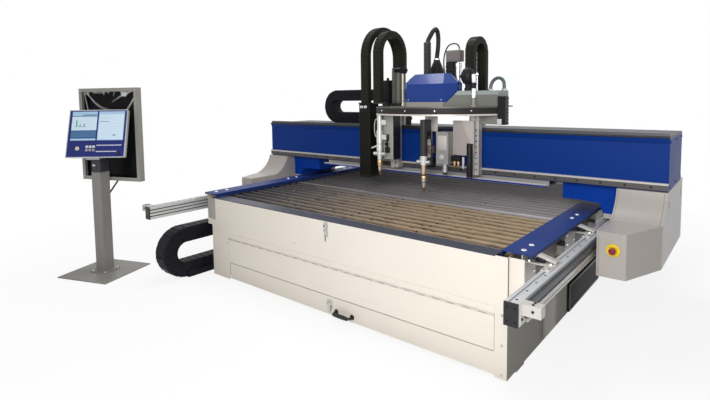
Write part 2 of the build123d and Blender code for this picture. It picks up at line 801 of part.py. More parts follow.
# Slag pan on the bottom flanges, open towards the door
with BuildPart() as slag_pan:
    pan_low = FOOT_T + SHEET
    pan_out = HALF_W - SHEET - PAN_GAP
    trough = [
        (-pan_out, pan_low + PAN_H),
        (-pan_out + PAN_FLARE, pan_low),
        (pan_out - PAN_FLARE, pan_low),
        (pan_out, pan_low + PAN_H),
        (pan_out - PAN_T, pan_low + PAN_H),
        (pan_out - PAN_FLARE - PAN_T, pan_low + PAN_T),
        (-pan_out + PAN_FLARE + PAN_T, pan_low + PAN_T),
        (-pan_out + PAN_T, pan_low + PAN_H),
    ]
    pan_front = door_face + DOOR_RETURN + PAN_GAP
    extrude(outline(across(pan_front), trough), amount=-(BACK_Y - SHEET - PAN_GAP - pan_front))
save(slag_pan, "slag_pan")

# Folded covers over the gap between the slat bed and the rails
with BuildPart() as side_covers:
    for side in SIDES:
        inner = HALF_W - COVER_IN
        outer = HALF_W + COVER_OUT
        fold = [
            (inner, COVER_TOP - COVER_INNER_SKIRT),
            (inner, COVER_TOP),
            (outer, COVER_TOP),
            (outer, COVER_TOP - COVER_OUTER_SKIRT),
            (outer - COVER_T, COVER_TOP - COVER_OUTER_SKIRT),
            (outer - COVER_T, COVER_TOP - COVER_T),
            (inner + COVER_T, COVER_TOP - COVER_T),
            (inner + COVER_T, COVER_TOP - COVER_INNER_SKIRT),
        ]
        start = across(FRONT_Y + COVER_END_GAP)
        extrude(outline(start, mirrored(side, fold)), amount=-(TABLE_D - 2 * COVER_END_GAP))
save(side_covers, "side_covers")

# Grooved aluminium rails that carry the gantry
with BuildPart() as rails:
    for side in SIDES:
        rail_x = handed(side, RAIL_IN, RAIL_OUT)
        block(rail_x, (RAIL_Y0, RAIL_Y1), (RAIL_BOTTOM, RAIL_TOP))
        groove_x = handed(side, RAIL_IN, RAIL_IN + GROOVE_D)
        for share in (1, 2, 3):
            z = RAIL_BOTTOM + RAIL_H * share / 4
            groove_z = (z - GROOVE_W / 2, z + GROOVE_W / 2)
            block(groove_x, (RAIL_Y0, RAIL_Y1), groove_z, Mode.SUBTRACT)
        top_x = handed(side, RAIL_IN + RAIL_W / 3 - GROOVE_W / 2, RAIL_IN + RAIL_W / 3 + GROOVE_W / 2)
        block(top_x, (RAIL_Y0, RAIL_Y1), (RAIL_TOP - GROOVE_D, RAIL_TOP), Mode.SUBTRACT)
save(rails, "rails")

# End caps of the rails
with BuildPart() as rail_end_caps:
    for side in SIDES:
        for cap_y in ((RAIL_Y0 - CAP_T, RAIL_Y0), (RAIL_Y1, RAIL_Y1 + CAP_T)):
            block(handed(side, RAIL_IN, RAIL_OUT), cap_y, (RAIL_BOTTOM, RAIL_TOP))
save(rail_end_caps, "rail_end_caps")

# Linear guide, toothed rack and round bar along the outer side of each rail
guide_y = (RAIL_Y0 + GUIDE_START, RAIL_Y1)
guide_z = (RAIL_TOP - GUIDE_DROP - GUIDE_H, RAIL_TOP - GUIDE_DROP)
with BuildPart() as rail_guides:
    rack_top = RAIL_TOP - RACK_DROP
    tooth_count = int((guide_y[1] - guide_y[0]) // RACK_PITCH)
    comb = [(guide_y[0], rack_top), (guide_y[1], rack_top), (guide_y[1], rack_top - RACK_H)]
    for k in reversed(range(tooth_count)):
        root = guide_y[0] + RACK_PITCH * k
        next_root = root + RACK_PITCH
        comb.append((next_root - RACK_LAND, rack_top - RACK_H))
        comb.append((next_root - RACK_LAND - RACK_FLANK, rack_top - RACK_H + RACK_TOOTH))
        comb.append((root + RACK_LAND + RACK_FLANK, rack_top - RACK_H + RACK_TOOTH))
        comb.append((root + RACK_LAND, rack_top - RACK_H))
    comb.append((guide_y[0], rack_top - RACK_H))
    for side in SIDES:
        block(handed(side, RAIL_OUT, RAIL_OUT + GUIDE_W), guide_y, guide_z)
        rack_x = handed(side, RAIL_OUT, RAIL_OUT + RACK_W)
        extrude(outline(Plane.YZ.offset(rack_x[0]), comb), amount=RACK_W)
        bar_x = side * (RAIL_OUT + SHAFT_R)
        with Locations(Location((bar_x, sum(guide_y) / 2, RAIL_BOTTOM + SHAFT_R), (90, 0, 0))):
            Cylinder(SHAFT_R, guide_y[1] - guide_y[0])
save(rail_guides, "rail_guides")

# Bent brackets between table, rails and covers, and the stops at the front of the rails
with BuildPart() as rail_brackets:
    for side in SIDES:
        for k in range(BRACKET_COUNT):
            y = FRONT_Y + BRACKET_FIRST + BRACKET_PITCH * k
            face = HALF_W + BRACKET_X
            plate_y = (y - BRACKET_W / 2, y + BRACKET_W / 2)
            top_y = (y - BRACKET_TOP_W / 2, y + BRACKET_TOP_W / 2)
            arm_z = (BRACKET_LOW, BRACKET_LOW + BRACKET_ARM_H)
            block(handed(side, face, face + BRACKET_T), plate_y, (BRACKET_LOW, COVER_TOP - COVER_T))
            block(handed(side, HALF_W, face), top_y, arm_z)
            top_x = handed(side, face + BRACKET_T, RAIL_IN + BRACKET_TOP_REACH)
            block(top_x, top_y, (RAIL_TOP, RAIL_TOP + BRACKET_T))
            hole_x = side * (face + RAIL_IN) / 2
            with Locations(*[(hole_x, y + BRACKET_HOLE_PITCH * s / 2, RAIL_TOP) for s in SIDES]):
                Cylinder(BRACKET_HOLE_R, 3 * BRACKET_T, mode=Mode.SUBTRACT)
        stop_y = (RAIL_Y0 + CAP_T, RAIL_Y0 + CAP_T + STOP_L)
        block(handed(side, RAIL_OUT, RAIL_OUT + BRACKET_T), stop_y, (RAIL_TOP - STOP_PLATE_H, RAIL_TOP))
        head_x = handed(side, RAIL_OUT, RAIL_OUT + STOP_REACH)
        block(head_x, (stop_y[0] + STOP_INSET, stop_y[1] - STOP_INSET), (RAIL_TOP - STOP_H, RAIL_TOP))
save(rail_brackets, "rail_brackets")

# Gantry beam: a closed box section with a sloped band under its top strip
beam_x = BEAM_END - BEAM_CAP_T
with BuildPart() as beam:
    section = [
        (BEAM_FRONT - BEAM_BAND_D, BEAM_TOP),
        (BEAM_FRONT, BEAM_TOP - BEAM_BAND_H),
        (BEAM_FRONT, BEAM_BOTTOM),
        (BEAM_BACK, BEAM_BOTTOM),
        (BEAM_BACK, BEAM_TOP),
    ]
    beam_face = outline(Plane.YZ.offset(-beam_x), section)
    extrude(beam_face, amount=2 * beam_x)
    core_y = (BEAM_FRONT + BEAM_WALL, BEAM_BACK - BEAM_WALL)
    core_z = (BEAM_BOTTOM + BEAM_WALL, BEAM_TOP - BEAM_WALL)
    block((-beam_x, beam_x), core_y, core_z, Mode.SUBTRACT)
save(beam, "beam")

with BuildPart() as beam_end_caps:
    for side in SIDES:
        cap_x = handed(side, beam_x, BEAM_END)
        extrude(outline(Plane.YZ.offset(cap_x[0]), section), amount=BEAM_CAP_T)
save(beam_end_caps, "beam_end_caps")

# Dark strip along the top of the beam
with BuildPart() as beam_top_strip:
    strip_y = (BEAM_FRONT - TOP_STRIP_LIP, BEAM_BACK)
    block((-BEAM_END, BEAM_END), strip_y, (BEAM_TOP, STRIP_TOP))
    front_edges = beam_top_strip.edges().filter_by(Axis.X).group_by(Axis.Y)[0]
    chamfer(front_edges, TOP_STRIP_EDGE)
save(beam_top_strip, "beam_top_strip")

# Guides of the carriage: one on the strip, one under a pale ledge along the beam's foot
low_guide_z = (BEAM_BOTTOM + BEAM_WALL, BEAM_BOTTOM + BEAM_WALL + LOW_GUIDE_H)
up_guide_y = (BEAM_FRONT + UP_GUIDE_Y, BEAM_FRONT + UP_GUIDE_Y + UP_GUIDE_W)
with BuildPart() as beam_guides:
    long_x = (-BEAM_END, BEAM_END)
    block(long_x, (BEAM_FRONT - LEDGE_BAR_D, BEAM_FRONT), (LEDGE_BAR_Z, LEDGE_BAR_Z + LEDGE_BAR_H))
    block(long_x, (BEAM_FRONT - LOW_GUIDE_D, BEAM_FRONT), low_guide_z)
    block(long_x, up_guide_y, (STRIP_TOP, STRIP_TOP + UP_GUIDE_H))
save(beam_guides, "beam_guides")

# Shallow tray hung below the beam
with BuildPart() as beam_tray:
    tray_y = BEAM_FRONT - TRAY_FRONT
    hanger = BEAM_FRONT + TRAY_HANGER_Y
    tray_section = [
        (tray_y, TRAY_Z),
        (tray_y + TRAY_D, TRAY_Z),
        (tray_y + TRAY_D, BEAM_BOTTOM),
        (tray_y + TRAY_D - TRAY_T, BEAM_BOTTOM),
        (tray_y + TRAY_D - TRAY_T, TRAY_Z + TRAY_T),
        (hanger + TRAY_T, TRAY_Z + TRAY_T),
        (hanger + TRAY_T, BEAM_BOTTOM),
        (hanger, BEAM_BOTTOM),
        (hanger, TRAY_Z + TRAY_T),
        (tray_y + TRAY_T, TRAY_Z + TRAY_T),
        (tray_y + TRAY_T, TRAY_Z + TRAY_LIP),
        (tray_y, TRAY_Z + TRAY_LIP),
    ]
    extrude(outline(Plane.YZ.offset(TRAY_LEFT), tray_section), amount=TRAY_RIGHT - TRAY_LEFT)
save(beam_tray, "beam_tray")

# Arched legs that reach from the beam over the side covers to the rails
leg_y = BEAM_FRONT + LEG_START
with BuildPart() as gantry_legs:
    for side in SIDES:
        arch = [
            (HALF_W - LEG_IN, BEAM_BOTTOM),
            (HOUSING_X, BEAM_BOTTOM),
            (HOUSING_X, LEG_FOOT_Z),
            (HALF_W + LEG_FOOT_IN, LEG_FOOT_Z),
            (HALF_W + LEG_FOOT_IN - LEG_KNEE_W, LEG_ARCH_Z - LEG_KNEE_H),
            (HALF_W + LEG_ARCH_IN, LEG_ARCH_Z),
            (HALF_W - LEG_IN, LEG_ARCH_Z),
        ]
        with BuildSketch(across(leg_y)) as box:
            add(outline(across(leg_y), mirrored(side, arch)))
        with BuildSketch(across(leg_y + LEG_WALL)) as hollow:
            add(outline(across(leg_y + LEG_WALL), mirrored(side, arch)))
            offset(amount=-LEG_WALL, kind=Kind.INTERSECTION, mode=Mode.REPLACE)
        extrude(box.sketch, amount=-LEG_D)
        extrude(hollow.sketch, amount=2 * LEG_WALL - LEG_D, mode=Mode.SUBTRACT)
save(gantry_legs, "gantry_legs")

# Trucks that hang on the rail guides, and the arm that pulls the floor chain
with BuildPart() as rail_trucks:
    for side in SIDES:
        for start in (leg_y, leg_y + LEG_D - TRUCK_L):
            along = (start, start + TRUCK_L)
            plate_x = handed(side, RAIL_IN, HOUSING_X)
            block(plate_x, along, (LEG_FOOT_Z - TRUCK_T, LEG_FOOT_Z))
            grip_x = handed(side, RAIL_OUT + GUIDE_W + TRUCK_CLEAR, HOUSING_X)
            grip_low = guide_z[0] - TRUCK_LIP_LOW
            block(grip_x, along, (grip_low, LEG_FOOT_Z - TRUCK_T))
    chain_in = HALF_W + Y_CHAIN_IN
    arm_y1 = FRONT_Y - Y_CHAIN_FRONT + Y_CHAIN_UPPER
    arm_x = (-HOUSING_X - Y_CHAIN_W / 2, -chain_in)
    block(arm_x, (arm_y1 - CHAIN_ARM_L, arm_y1), (CHAIN_TOP + CHAIN_SEAT, HOUSING_BOTTOM))
save(rail_trucks, "rail_trucks")


def housing_block(side, inset):
    """One end housing, or its hollow when every wall is moved in by the inset."""
    low = HOUSING_BOTTOM + inset
    shelf = HOUSING_SHELF - inset
    x_in = HOUSING_X + inset
    x_out = BEAM_END - inset
    nose = BEAM_FRONT - HOUSING_FRONT + inset
    back = BEAM_FRONT + HOUSING_BACK - inset
    corner = nose + HOUSING_CORNER_D
    plan = [
        (x_in, nose),
        (HOUSING_X + HOUSING_NOSE_W - inset, nose),
        (x_out, corner),
        (x_out, back),
        (x_in, back),
    ]
    extrude(outline(Plane.XY.offset(low), mirrored(side, plan)), amount=shelf - low)
    neck_x = handed(side, x_in, x_out)
    top = BEAM_BOTTOM - inset
    foot = BEAM_FRONT - HOUSING_NECK_FOOT + inset
    middle = BEAM_FRONT - HOUSING_NECK_BULGE + inset
    with BuildSketch(Plane.YZ.offset(neck_x[0])) as neck:
        with BuildLine():
            ThreePointArc(
                (BEAM_FRONT - HOUSING_NECK + inset, top),
                (middle, HOUSING_NECK_MID_Z - inset),
                (foot, shelf),
            )
            Polyline(
                (foot, shelf),
                (back, shelf),
                (back, top),
                (BEAM_FRONT - HOUSING_NECK + inset, top),
            )
        make_face()
    extrude(neck.sketch, amount=neck_x[1] - neck_x[0])


# Sheet-metal housings at the two ends of the gantry
housing_parts = []
for side in SIDES:
    with BuildPart() as hollow:
        housing_block(side, HOUSING_WALL)
    with BuildPart() as housing:
        housing_block(side, 0)
        add(hollow.part, mode=Mode.SUBTRACT)
        for y in (BEAM_FRONT + SLOT_FRONT_Y, BEAM_FRONT + SLOT_BACK_Y):
            slot_x = handed(side, BEAM_END - SLOT_DEPTH, BEAM_END)
            slot_y = (y, y + SLOT_W)
            block(slot_x, slot_y, (SLOT_Z - SLOT_H / 2, SLOT_Z + SLOT_H / 2), Mode.SUBTRACT)
    housing_parts.append(housing.part)
with BuildPart() as end_housings:
    for shell in housing_parts:
        add(shell)
save(end_housings, "end_housings")

# Emergency stop on the nose of the right-hand housing
nose_y = BEAM_FRONT - HOUSING_FRONT
stop_x = HALF_W + STOP_X
with BuildPart() as estop_collar:
    with BuildSketch(across(nose_y)):
        with Locations((stop_x, STOP_Z)):
            Circle(COLLAR_R)
            Circle(BUTTON_STEM_R + BUTTON_CLEAR, mode=Mode.SUBTRACT)
    extrude(amount=COLLAR_T)
    rim = estop_collar.edges().filter_by(GeomType.CIRCLE).group_by(Axis.Y)[0].sort_by(SortBy.RADIUS)[-1]
    fillet(rim, COLLAR_ROUND)
save(estop_collar, "estop_collar")

with BuildPart() as estop_button:
    head_y = nose_y - COLLAR_T - BUTTON_TRAVEL - BUTTON_CLEAR
    with BuildSketch(across(head_y)):
        with Locations((stop_x, STOP_Z)):
            Circle(BUTTON_R)
    extrude(amount=BUTTON_H)
    crown = estop_button.edges().filter_by(GeomType.CIRCLE).group_by(Axis.Y)[0]
    fillet(crown, BUTTON_ROUND)
    with BuildSketch(across(nose_y - BUTTON_TRAVEL - BUTTON_CLEAR)):
        with Locations((stop_x, STOP_Z)):
            Circle(BUTTON_STEM_R)
    extrude(amount=COLLAR_T)
save(estop_button, "estop_button")

# Floor chain of the gantry in its trough, left of the table
chain_x = (-chain_in - Y_CHAIN_W, -chain_in)
chain_centre = TROUGH_T + CHAIN_SEAT + Y_CHAIN_R + Y_CHAIN_H / 2
chain_front = FRONT_Y - Y_CHAIN_FRONT
with BuildPart() as y_chain:
    turn = Plane(origin=(chain_x[0], chain_front, chain_centre), x_dir=(0, 1, 0), z_dir=(1, 0, 0))
    side_view = chain_band(turn, Y_CHAIN_R, Y_CHAIN_H, Y_CHAIN_UPPER, Y_CHAIN_LOWER, Y_CHAIN_PITCH)
    extrude(side_view, amount=Y_CHAIN_W)
save(y_chain, "y_chain")

with BuildPart() as chain_trough:
    floor_x = (chain_x[0] - TROUGH_CLEAR - TROUGH_T, chain_x[1] + TROUGH_CLEAR + TROUGH_T)
    channel = [
        (floor_x[0], 0),
        (floor_x[1], 0),
        (floor_x[1], TROUGH_WALL),
        (floor_x[1] - TROUGH_T, TROUGH_WALL),
        (floor_x[1] - TROUGH_T, TROUGH_T),
        (floor_x[0] + TROUGH_T, TROUGH_T),
        (floor_x[0] + TROUGH_T, TROUGH_WALL),
        (floor_x[0], TROUGH_WALL),
    ]
    extrude(outline(across(chain_front), channel), amount=-Y_CHAIN_LOWER)
save(chain_trough, "chain_trough")

# Chain of the carriage, lying on top of the beam
with BuildPart() as x_chain:
    x_chain_y = BEAM_FRONT + X_CHAIN_Y
    centre_z = STRIP_TOP + CHAIN_SEAT + X_CHAIN_R + X_CHAIN_H / 2
    turn = Plane(origin=(X_CHAIN_LEFT, x_chain_y + X_CHAIN_W, centre_z), x_dir=(1, 0, 0), z_dir=(0, -1, 0))
    side_view = chain_band(turn, X_CHAIN_R, X_CHAIN_H, X_CHAIN_UPPER, X_CHAIN_LOWER, X_CHAIN_PITCH)
    extrude(side_view, amount=X_CHAIN_W)
save(x_chain, "x_chain")


def cx(place):
    """X of a point given from the middle of the carriage."""
    return CARRIAGE_X + place


def cy(place):
    """Y of a point given from the front of the beam."""
    return BEAM_FRONT + place


# Carriage posts with their rollers on both guides, and the slides of the tools
with BuildPart() as saddle_posts:
    for place in (POST_LEFT, POST_RIGHT):
        post_x = (cx(place) - POST_W / 2, cx(place) + POST_W / 2)
        block(post_x, (POST_FRONT, POST_BACK), (POST_BOTTOM, PLATE_Z))
        roller_y = (POST_BACK, BEAM_FRONT - LOW_GUIDE_D - ROLLER_CLEAR)
        roller_z = (low_guide_z[0], low_guide_z[0] + ROLLER_H)
        block(post_x, roller_y, roller_z)
        saddle_z = (STRIP_TOP + UP_GUIDE_H + ROLLER_CLEAR, PLATE_Z)
        block(post_x, up_guide_y, saddle_z)
        hole_z = [POST_BOTTOM + POST_HOLE_PITCH * (k + 1) for k in range(POST_HOLE_ROWS)]
        hole_x = [cx(place) + side * POST_W / 4 for side in SIDES]
        middle_y = (POST_FRONT + POST_BACK) / 2
        with Locations(*[Location((x, middle_y, z), (90, 0, 0)) for z in hole_z for x in hole_x]):
            Cylinder(POST_HOLE_R, 2 * POST_D, mode=Mode.SUBTRACT)
    slide_y = (POST_FRONT - SLIDE_T, POST_FRONT)
    for place in (POST_LEFT, POST_RIGHT):
        slide_x = (cx(place) - COLUMN_SLIDE_W / 4, cx(place) + COLUMN_SLIDE_W / 4)
        block(slide_x, slide_y, (POST_BOTTOM, PLATE_Z))
    column_back = cy(COLUMN_Y) + COLUMN_D
    column_slide_x = (cx(COLUMN_X) - COLUMN_SLIDE_W / 2, cx(COLUMN_X) + COLUMN_SLIDE_W / 2)
    column_slide_y = (column_back + SLIDE_CLEAR, cy(WING_FRONT))
    block(column_slide_x, column_slide_y, (PLATE_TOP - COLUMN_SLIDE_H, PLATE_TOP))
    centre_back = cy(TORCH_CENTRE_Y) + CENTRE_TUBE_R + CENTRE_BACK_D
    centre_x = (cx(TORCH_CENTRE_X) - COLUMN_SLIDE_W / 2, cx(TORCH_CENTRE_X) + COLUMN_SLIDE_W / 2)
    block(centre_x, (centre_back + SLIDE_CLEAR, centre_back + SLIDE_T), (PLATE_Z - CENTRE_SLIDE_H, PLATE_Z))
save(saddle_posts, "saddle_posts")


def plate_outline(plane):
    """Bow-fronted station plate with its wing behind the column."""
    with BuildSketch(plane) as drawn:
        with BuildLine():
            Polyline(
                (cx(PLATE_LEFT), cy(PLATE_CORNER_Y)),
                (cx(PLATE_LEFT), cy(NOTCH_Y)),
                (cx(NOTCH_X), cy(NOTCH_Y)),
                (cx(NOTCH_X), cy(WING_FRONT)),
                (cx(WING_LEFT), cy(WING_FRONT)),
                (cx(WING_LEFT), cy(WING_BACK)),
                (cx(WING_RIGHT), cy(WING_BACK)),
                (cx(WING_RIGHT), cy(PLATE_BACK)),
                (cx(PLATE_RIGHT), cy(PLATE_BACK)),
                (cx(PLATE_RIGHT), cy(PLATE_RIGHT_Y)),
            )
            ThreePointArc(
                (cx(PLATE_RIGHT), cy(PLATE_RIGHT_Y)),
                (cx(PLATE_BOW_X), cy(PLATE_BOW_Y)),
                (cx(PLATE_LEFT), cy(PLATE_CORNER_Y)),
            )
        make_face()
    return drawn.sketch


def bow_strip(plane, thickness):
    """Plan view of a strip that follows the plate's bowed front edge."""
    with BuildSketch(plane) as drawn:
        with BuildLine() as edge:
            ThreePointArc(
                (cx(PLATE_RIGHT), cy(PLATE_RIGHT_Y)),
                (cx(PLATE_BOW_X), cy(PLATE_BOW_Y)),
                (cx(PLATE_LEFT), cy(PLATE_CORNER_Y)),
            )
            offset(edge.line, thickness, side=Side.RIGHT, closed=True, mode=Mode.REPLACE)
        make_face()
    return drawn.sketch


# Station plate with a skirt and a bright lip along its bowed front
with BuildPart() as station_plate:
    extrude(plate_outline(Plane.XY.offset(PLATE_Z)), amount=PLATE_T)
    extrude(bow_strip(Plane.XY.offset(PLATE_Z - SKIRT_H), SKIRT_T), amount=SKIRT_H)
    extrude(bow_strip(Plane.XY.offset(PLATE_Z - SKIRT_H - LIP_H), LIP_OUT), amount=LIP_H)
    upper_run = STRIP_TOP + CHAIN_SEAT + 2 * X_CHAIN_R
    pad_x1 = X_CHAIN_LEFT + X_CHAIN_UPPER
    pad_z = (PLATE_TOP, upper_run - CHAIN_SEAT)
    block((pad_x1 - X_CHAIN_PITCH, pad_x1), (x_chain_y, x_chain_y + X_CHAIN_W), pad_z)
save(station_plate, "station_plate")

# Motor cover on a pale plinth: a shell with cut corners and a sloped crown
cover_x = (cx(COVER_X0), cx(COVER_X1))
cover_y = (cy(COVER_Y0), cy(COVER_Y1))
cover_z = (PLATE_TOP + PLINTH_H, PLATE_TOP + PLINTH_H + MOTOR_COVER_H)


def cover_form(inset, mode):
    """Outer form of the motor cover, or its hollow when every wall is moved in by the inset."""
    low = cover_z[0] if inset == 0 else cover_z[0] - inset
    shoulder = cover_z[1] - MOTOR_COVER_CROWN
    corner = MOTOR_COVER_CORNER - inset * tan(radians(22.5))
    with BuildSketch(Plane.XY.offset(low)) as plan:
        with Locations((sum(cover_x) / 2, sum(cover_y) / 2)):
            Rectangle(cover_x[1] - cover_x[0] - 2 * inset, cover_y[1] - cover_y[0] - 2 * inset)
        chamfer(plan.vertices(), corner)
    extrude(plan.sketch, amount=shoulder - low, mode=mode)
    slope = degrees(atan2(MOTOR_COVER_SLOPE, MOTOR_COVER_CROWN))
    top = plan.sketch.moved(Location((0, 0, shoulder - low)))
    extrude(top, amount=MOTOR_COVER_CROWN - inset, taper=slope, mode=mode)


with BuildPart() as motor_cover:
    cover_form(0, Mode.ADD)
    cover_form(MOTOR_COVER_WALL, Mode.SUBTRACT)
save(motor_cover, "motor_cover")

# Grey box on the right of the plate with its slanted cheek, the gusset under it and the plinth of the cover
with BuildPart() as carriage_box:
    box_x = (cx(BOX_LEFT), cx(PLATE_RIGHT))
    box_y = (cy(BOX_Y0), cy(BOX_Y0) + BOX_D)
    box_z = (PLATE_TOP, BOX_TOP)
    block(box_x, box_y, box_z)
    inner_x = (box_x[0] + BOX_WALL, box_x[1] - BOX_WALL)
    inner_y = (box_y[0] + BOX_WALL, box_y[1] - BOX_WALL)
    block(inner_x, inner_y, (box_z[0], box_z[1] - BOX_WALL), Mode.SUBTRACT)
    brace_x = cx(POST_RIGHT) + POST_W / 2
    block((brace_x, box_x[1]), (POST_BACK - GUSSET_T, POST_BACK), (MOTOR_LOW, PLATE_Z))
    cheek_foot = Vector(cx(CHEEK_X), cy(CHEEK_Y), 0)
    chord = Vector(box_x[1], box_y[0], 0) - cheek_foot
    along = chord.normalized()
    cheek_plane = Plane(origin=cheek_foot, x_dir=along, z_dir=along.cross(Vector(0, 0, 1)))
    cheek = [(0, PLATE_TOP), (chord.length, PLATE_TOP), (chord.length, BOX_TOP), (BOX_H, BOX_TOP)]
    extrude(outline(cheek_plane, cheek), amount=-CHEEK_T)
    crest = cheek_foot + along * BOX_H
    lid = [(crest.X, crest.Y), (box_x[1], box_y[0]), (crest.X, box_y[0])]
    extrude(outline(Plane.XY.offset(BOX_TOP), lid), amount=-BOX_WALL)
    with BuildSketch(Plane.XY.offset(PLATE_TOP)) as plinth:
        with Locations((sum(cover_x) / 2, sum(cover_y) / 2)):
            Rectangle(cover_x[1] - cover_x[0], cover_y[1] - cover_y[0])
        chamfer(plinth.vertices(), MOTOR_COVER_CORNER)
    extrude(plinth.sketch, amount=PLINTH_H)
save(carriage_box, "carriage_box")

# Finned drive motor at the right-hand end of the carriage
with BuildPart() as traverse_motor:
    motor_x = (cx(PLATE_RIGHT), cx(PLATE_RIGHT) + MOTOR_W)
    motor_y = (cy(MOTOR_Y0), cy(MOTOR_Y0) + MOTOR_D)
    block(motor_x, motor_y, (MOTOR_LOW, MOTOR_HIGH))
    fin_step = (MOTOR_HIGH - MOTOR_LOW) / (FIN_COUNT + 1)
    for k in range(FIN_COUNT):
        z = MOTOR_LOW + fin_step * (k + 1)
        fin_z = (z - FIN_W / 2, z + FIN_W / 2)
        block((motor_x[1] - FIN_DEPTH, motor_x[1]), motor_y, fin_z, Mode.SUBTRACT)
        block(motor_x, (motor_y[0], motor_y[0] + FIN_DEPTH), fin_z, Mode.SUBTRACT)
save(traverse_motor, "traverse_motor")

# Upright drives and cylinders that stand on the plate
with BuildPart() as lift_drives:
    post(cx(MAST_X), cy(MAST_Y), (PLATE_TOP, MAST_TOP), MAST_R)
    cone = [
        (0, PLATE_TOP),
        (CONE_R, PLATE_TOP),
        (CONE_R, PLATE_TOP + CONE_SHOULDER_H),
        (CONE_NECK_R, CONE_TOP),
        (0, CONE_TOP),
    ]
    cone_plane = Plane(origin=(cx(CONE_X), cy(CONE_Y), 0), x_dir=(1, 0, 0), z_dir=(0, -1, 0))
    revolve(outline(cone_plane, cone), Axis((cx(CONE_X), cy(CONE_Y), 0), (0, 0, 1)))
    servo_x = (cx(SERVO_X0), cx(SERVO_X1))
    servo_y = (cy(SERVO_Y0), cy(SERVO_Y1))
    block(servo_x, servo_y, (PLATE_TOP, SERVO_TOP))
    post(cx(CYLINDER_X), cy(CYLINDER_Y), (PLATE_TOP, PLATE_TOP + CYLINDER_H), CYLINDER_R)
    post(cx(PISTON_X), cy(PISTON_Y), (PLATE_TOP, PLATE_TOP + PISTON_H), PISTON_R)
    head_x = (servo_x[0], servo_x[0] + SERVO_HEAD_W)
    block(head_x, servo_y, (SERVO_TOP, SERVO_TOP + SERVO_HEAD_H))
save(lift_drives, "lift_drives")


def arch(x, front_y, rear_y, centre_z, front_foot, rear_foot):
    """Energy chain that rises from a front foot, turns over and comes down to a rear foot."""
    radius = (rear_y - front_y) / 2
    origin = (x - LIFT_CHAIN_W / 2, (front_y + rear_y) / 2, centre_z)
    turn = Plane(origin=origin, x_dir=(0, 0, -1), z_dir=(1, 0, 0))
    runs = (centre_z - rear_foot, centre_z - front_foot)
    extrude(chain_band(turn, radius, LIFT_CHAIN_H, *runs, LIFT_CHAIN_PITCH), amount=LIFT_CHAIN_W)


# Chains of the tools that rise over the carriage
column_chain_foot = COLUMN_TOP + COLUMN_HEAD_T
with BuildPart() as column_chain:
    arch(
        cx(COLUMN_X),
        cy(COLUMN_CHAIN_FRONT),
        cy(COLUMN_CHAIN_REAR),
        PLATE_TOP + COLUMN_CHAIN_RISE,
        column_chain_foot + CHAIN_SEAT,
        PLATE_TOP + CHAIN_SEAT,
    )
save(column_chain, "column_chain")

with BuildPart() as lifter_chain:
    arch(
        cx(LIFTER_CHAIN_X),
        cy(COLUMN_CHAIN_FRONT),
        cy(LIFTER_CHAIN_REAR),
        PLATE_TOP + LIFTER_CHAIN_RISE,
        column_chain_foot + CHAIN_SEAT,
        MAST_TOP + CHAIN_SEAT,
    )
save(lifter_chain, "lifter_chain")

with BuildPart() as marker_chain:
    arch(
        cx(MARKER_CHAIN_X),
        cy(MARKER_CHAIN_FRONT),
        cy(MARKER_CHAIN_REAR),
        PLATE_TOP + MARKER_CHAIN_RISE,
        BOX_TOP + CHAIN_SEAT,
        PLATE_TOP + CHAIN_SEAT,
    )
save(marker_chain, "marker_chain")

# Ribbed conduit that rises from the plate
with BuildPart() as torch_conduit:
    conduit_place = (cx(CONDUIT_X), cy(CONDUIT_Y))
    conduit_top = PLATE_TOP + CONDUIT_H
    first_rib = PLATE_TOP + CONDUIT_PLAIN_H
    rib_count = int((CONDUIT_H - CONDUIT_PLAIN_H) // CONDUIT_RIB_PITCH)
    profile = [
        (CONDUIT_BORE_R, PLATE_TOP),
        (CONDUIT_ROOT_R, PLATE_TOP),
        (CONDUIT_ROOT_R, first_rib),
    ]
    for k in range(rib_count):
        z = first_rib + CONDUIT_RIB_PITCH * k + CONDUIT_RIB_FLANK
        profile.append((CONDUIT_R, z))
        profile.append((CONDUIT_R, z + CONDUIT_RIB_CREST))
        profile.append((CONDUIT_ROOT_R, z + CONDUIT_RIB_CREST + CONDUIT_RIB_FLANK))
    profile.append((CONDUIT_ROOT_R, conduit_top))
    profile.append((CONDUIT_BORE_R, conduit_top))
    conduit_plane = Plane(origin=(*conduit_place, 0), x_dir=(1, 0, 0), z_dir=(0, -1, 0))
    revolve(outline(conduit_plane, profile), Axis((*conduit_place, 0), (0, 0, 1)))
save(torch_conduit, "torch_conduit")

# Free hoses and cables above the carriage, each along its own chosen points
HOSE_POINTS = [
    (-135.0, 29.0, 500.0),
    (-134.0, 30.0, 556.0),
    (-130.0, 35.0, 580.0),
    (-118.0, 49.0, 615.0),
    (-105.0, 74.0, 660.0),
    (-95.0, 99.0, 682.0),
    (-90.0, 124.0, 668.0),
    (-91.0, 143.0, 620.0),
    (-95.0, 151.0, 569.0),
    (-104.0, 159.0, 500.0),
    (-118.0, 165.0, 440.0),
    (-118.0, 165.0, CONE_H),
]
CABLE_POINTS = [
    (48.0, 74.0, 250.0),
    (30.0, 74.0, 250.0),
    (15.0, 74.0, 278.0),
    (7.0, 73.0, 320.0),
    (4.0, 71.0, 376.0),
    (10.0, 70.0, 436.0),
    (28.0, 69.0, 490.0),
    (58.0, 69.0, 526.0),
    (98.0, 69.0, 536.0),
    (138.0, 69.0, 528.0),
    (157.0, 69.0, 502.0),
    (157.0, 69.0, SERVO_H + SERVO_HEAD_H),
]
RELIEF_POINTS = [
    (418.0, 120.0, BOX_H),
    (418.0, 120.0, 155.0),
    (424.0, 126.0, 186.0),
    (442.0, 130.0, 215.0),
    (472.0, 134.0, 232.0),
    (504.0, 134.0, 226.0),
    (526.0, 132.0, 202.0),
    (532.0, 130.0, 172.0),
    (532.0, 130.0, BOX_H),
]


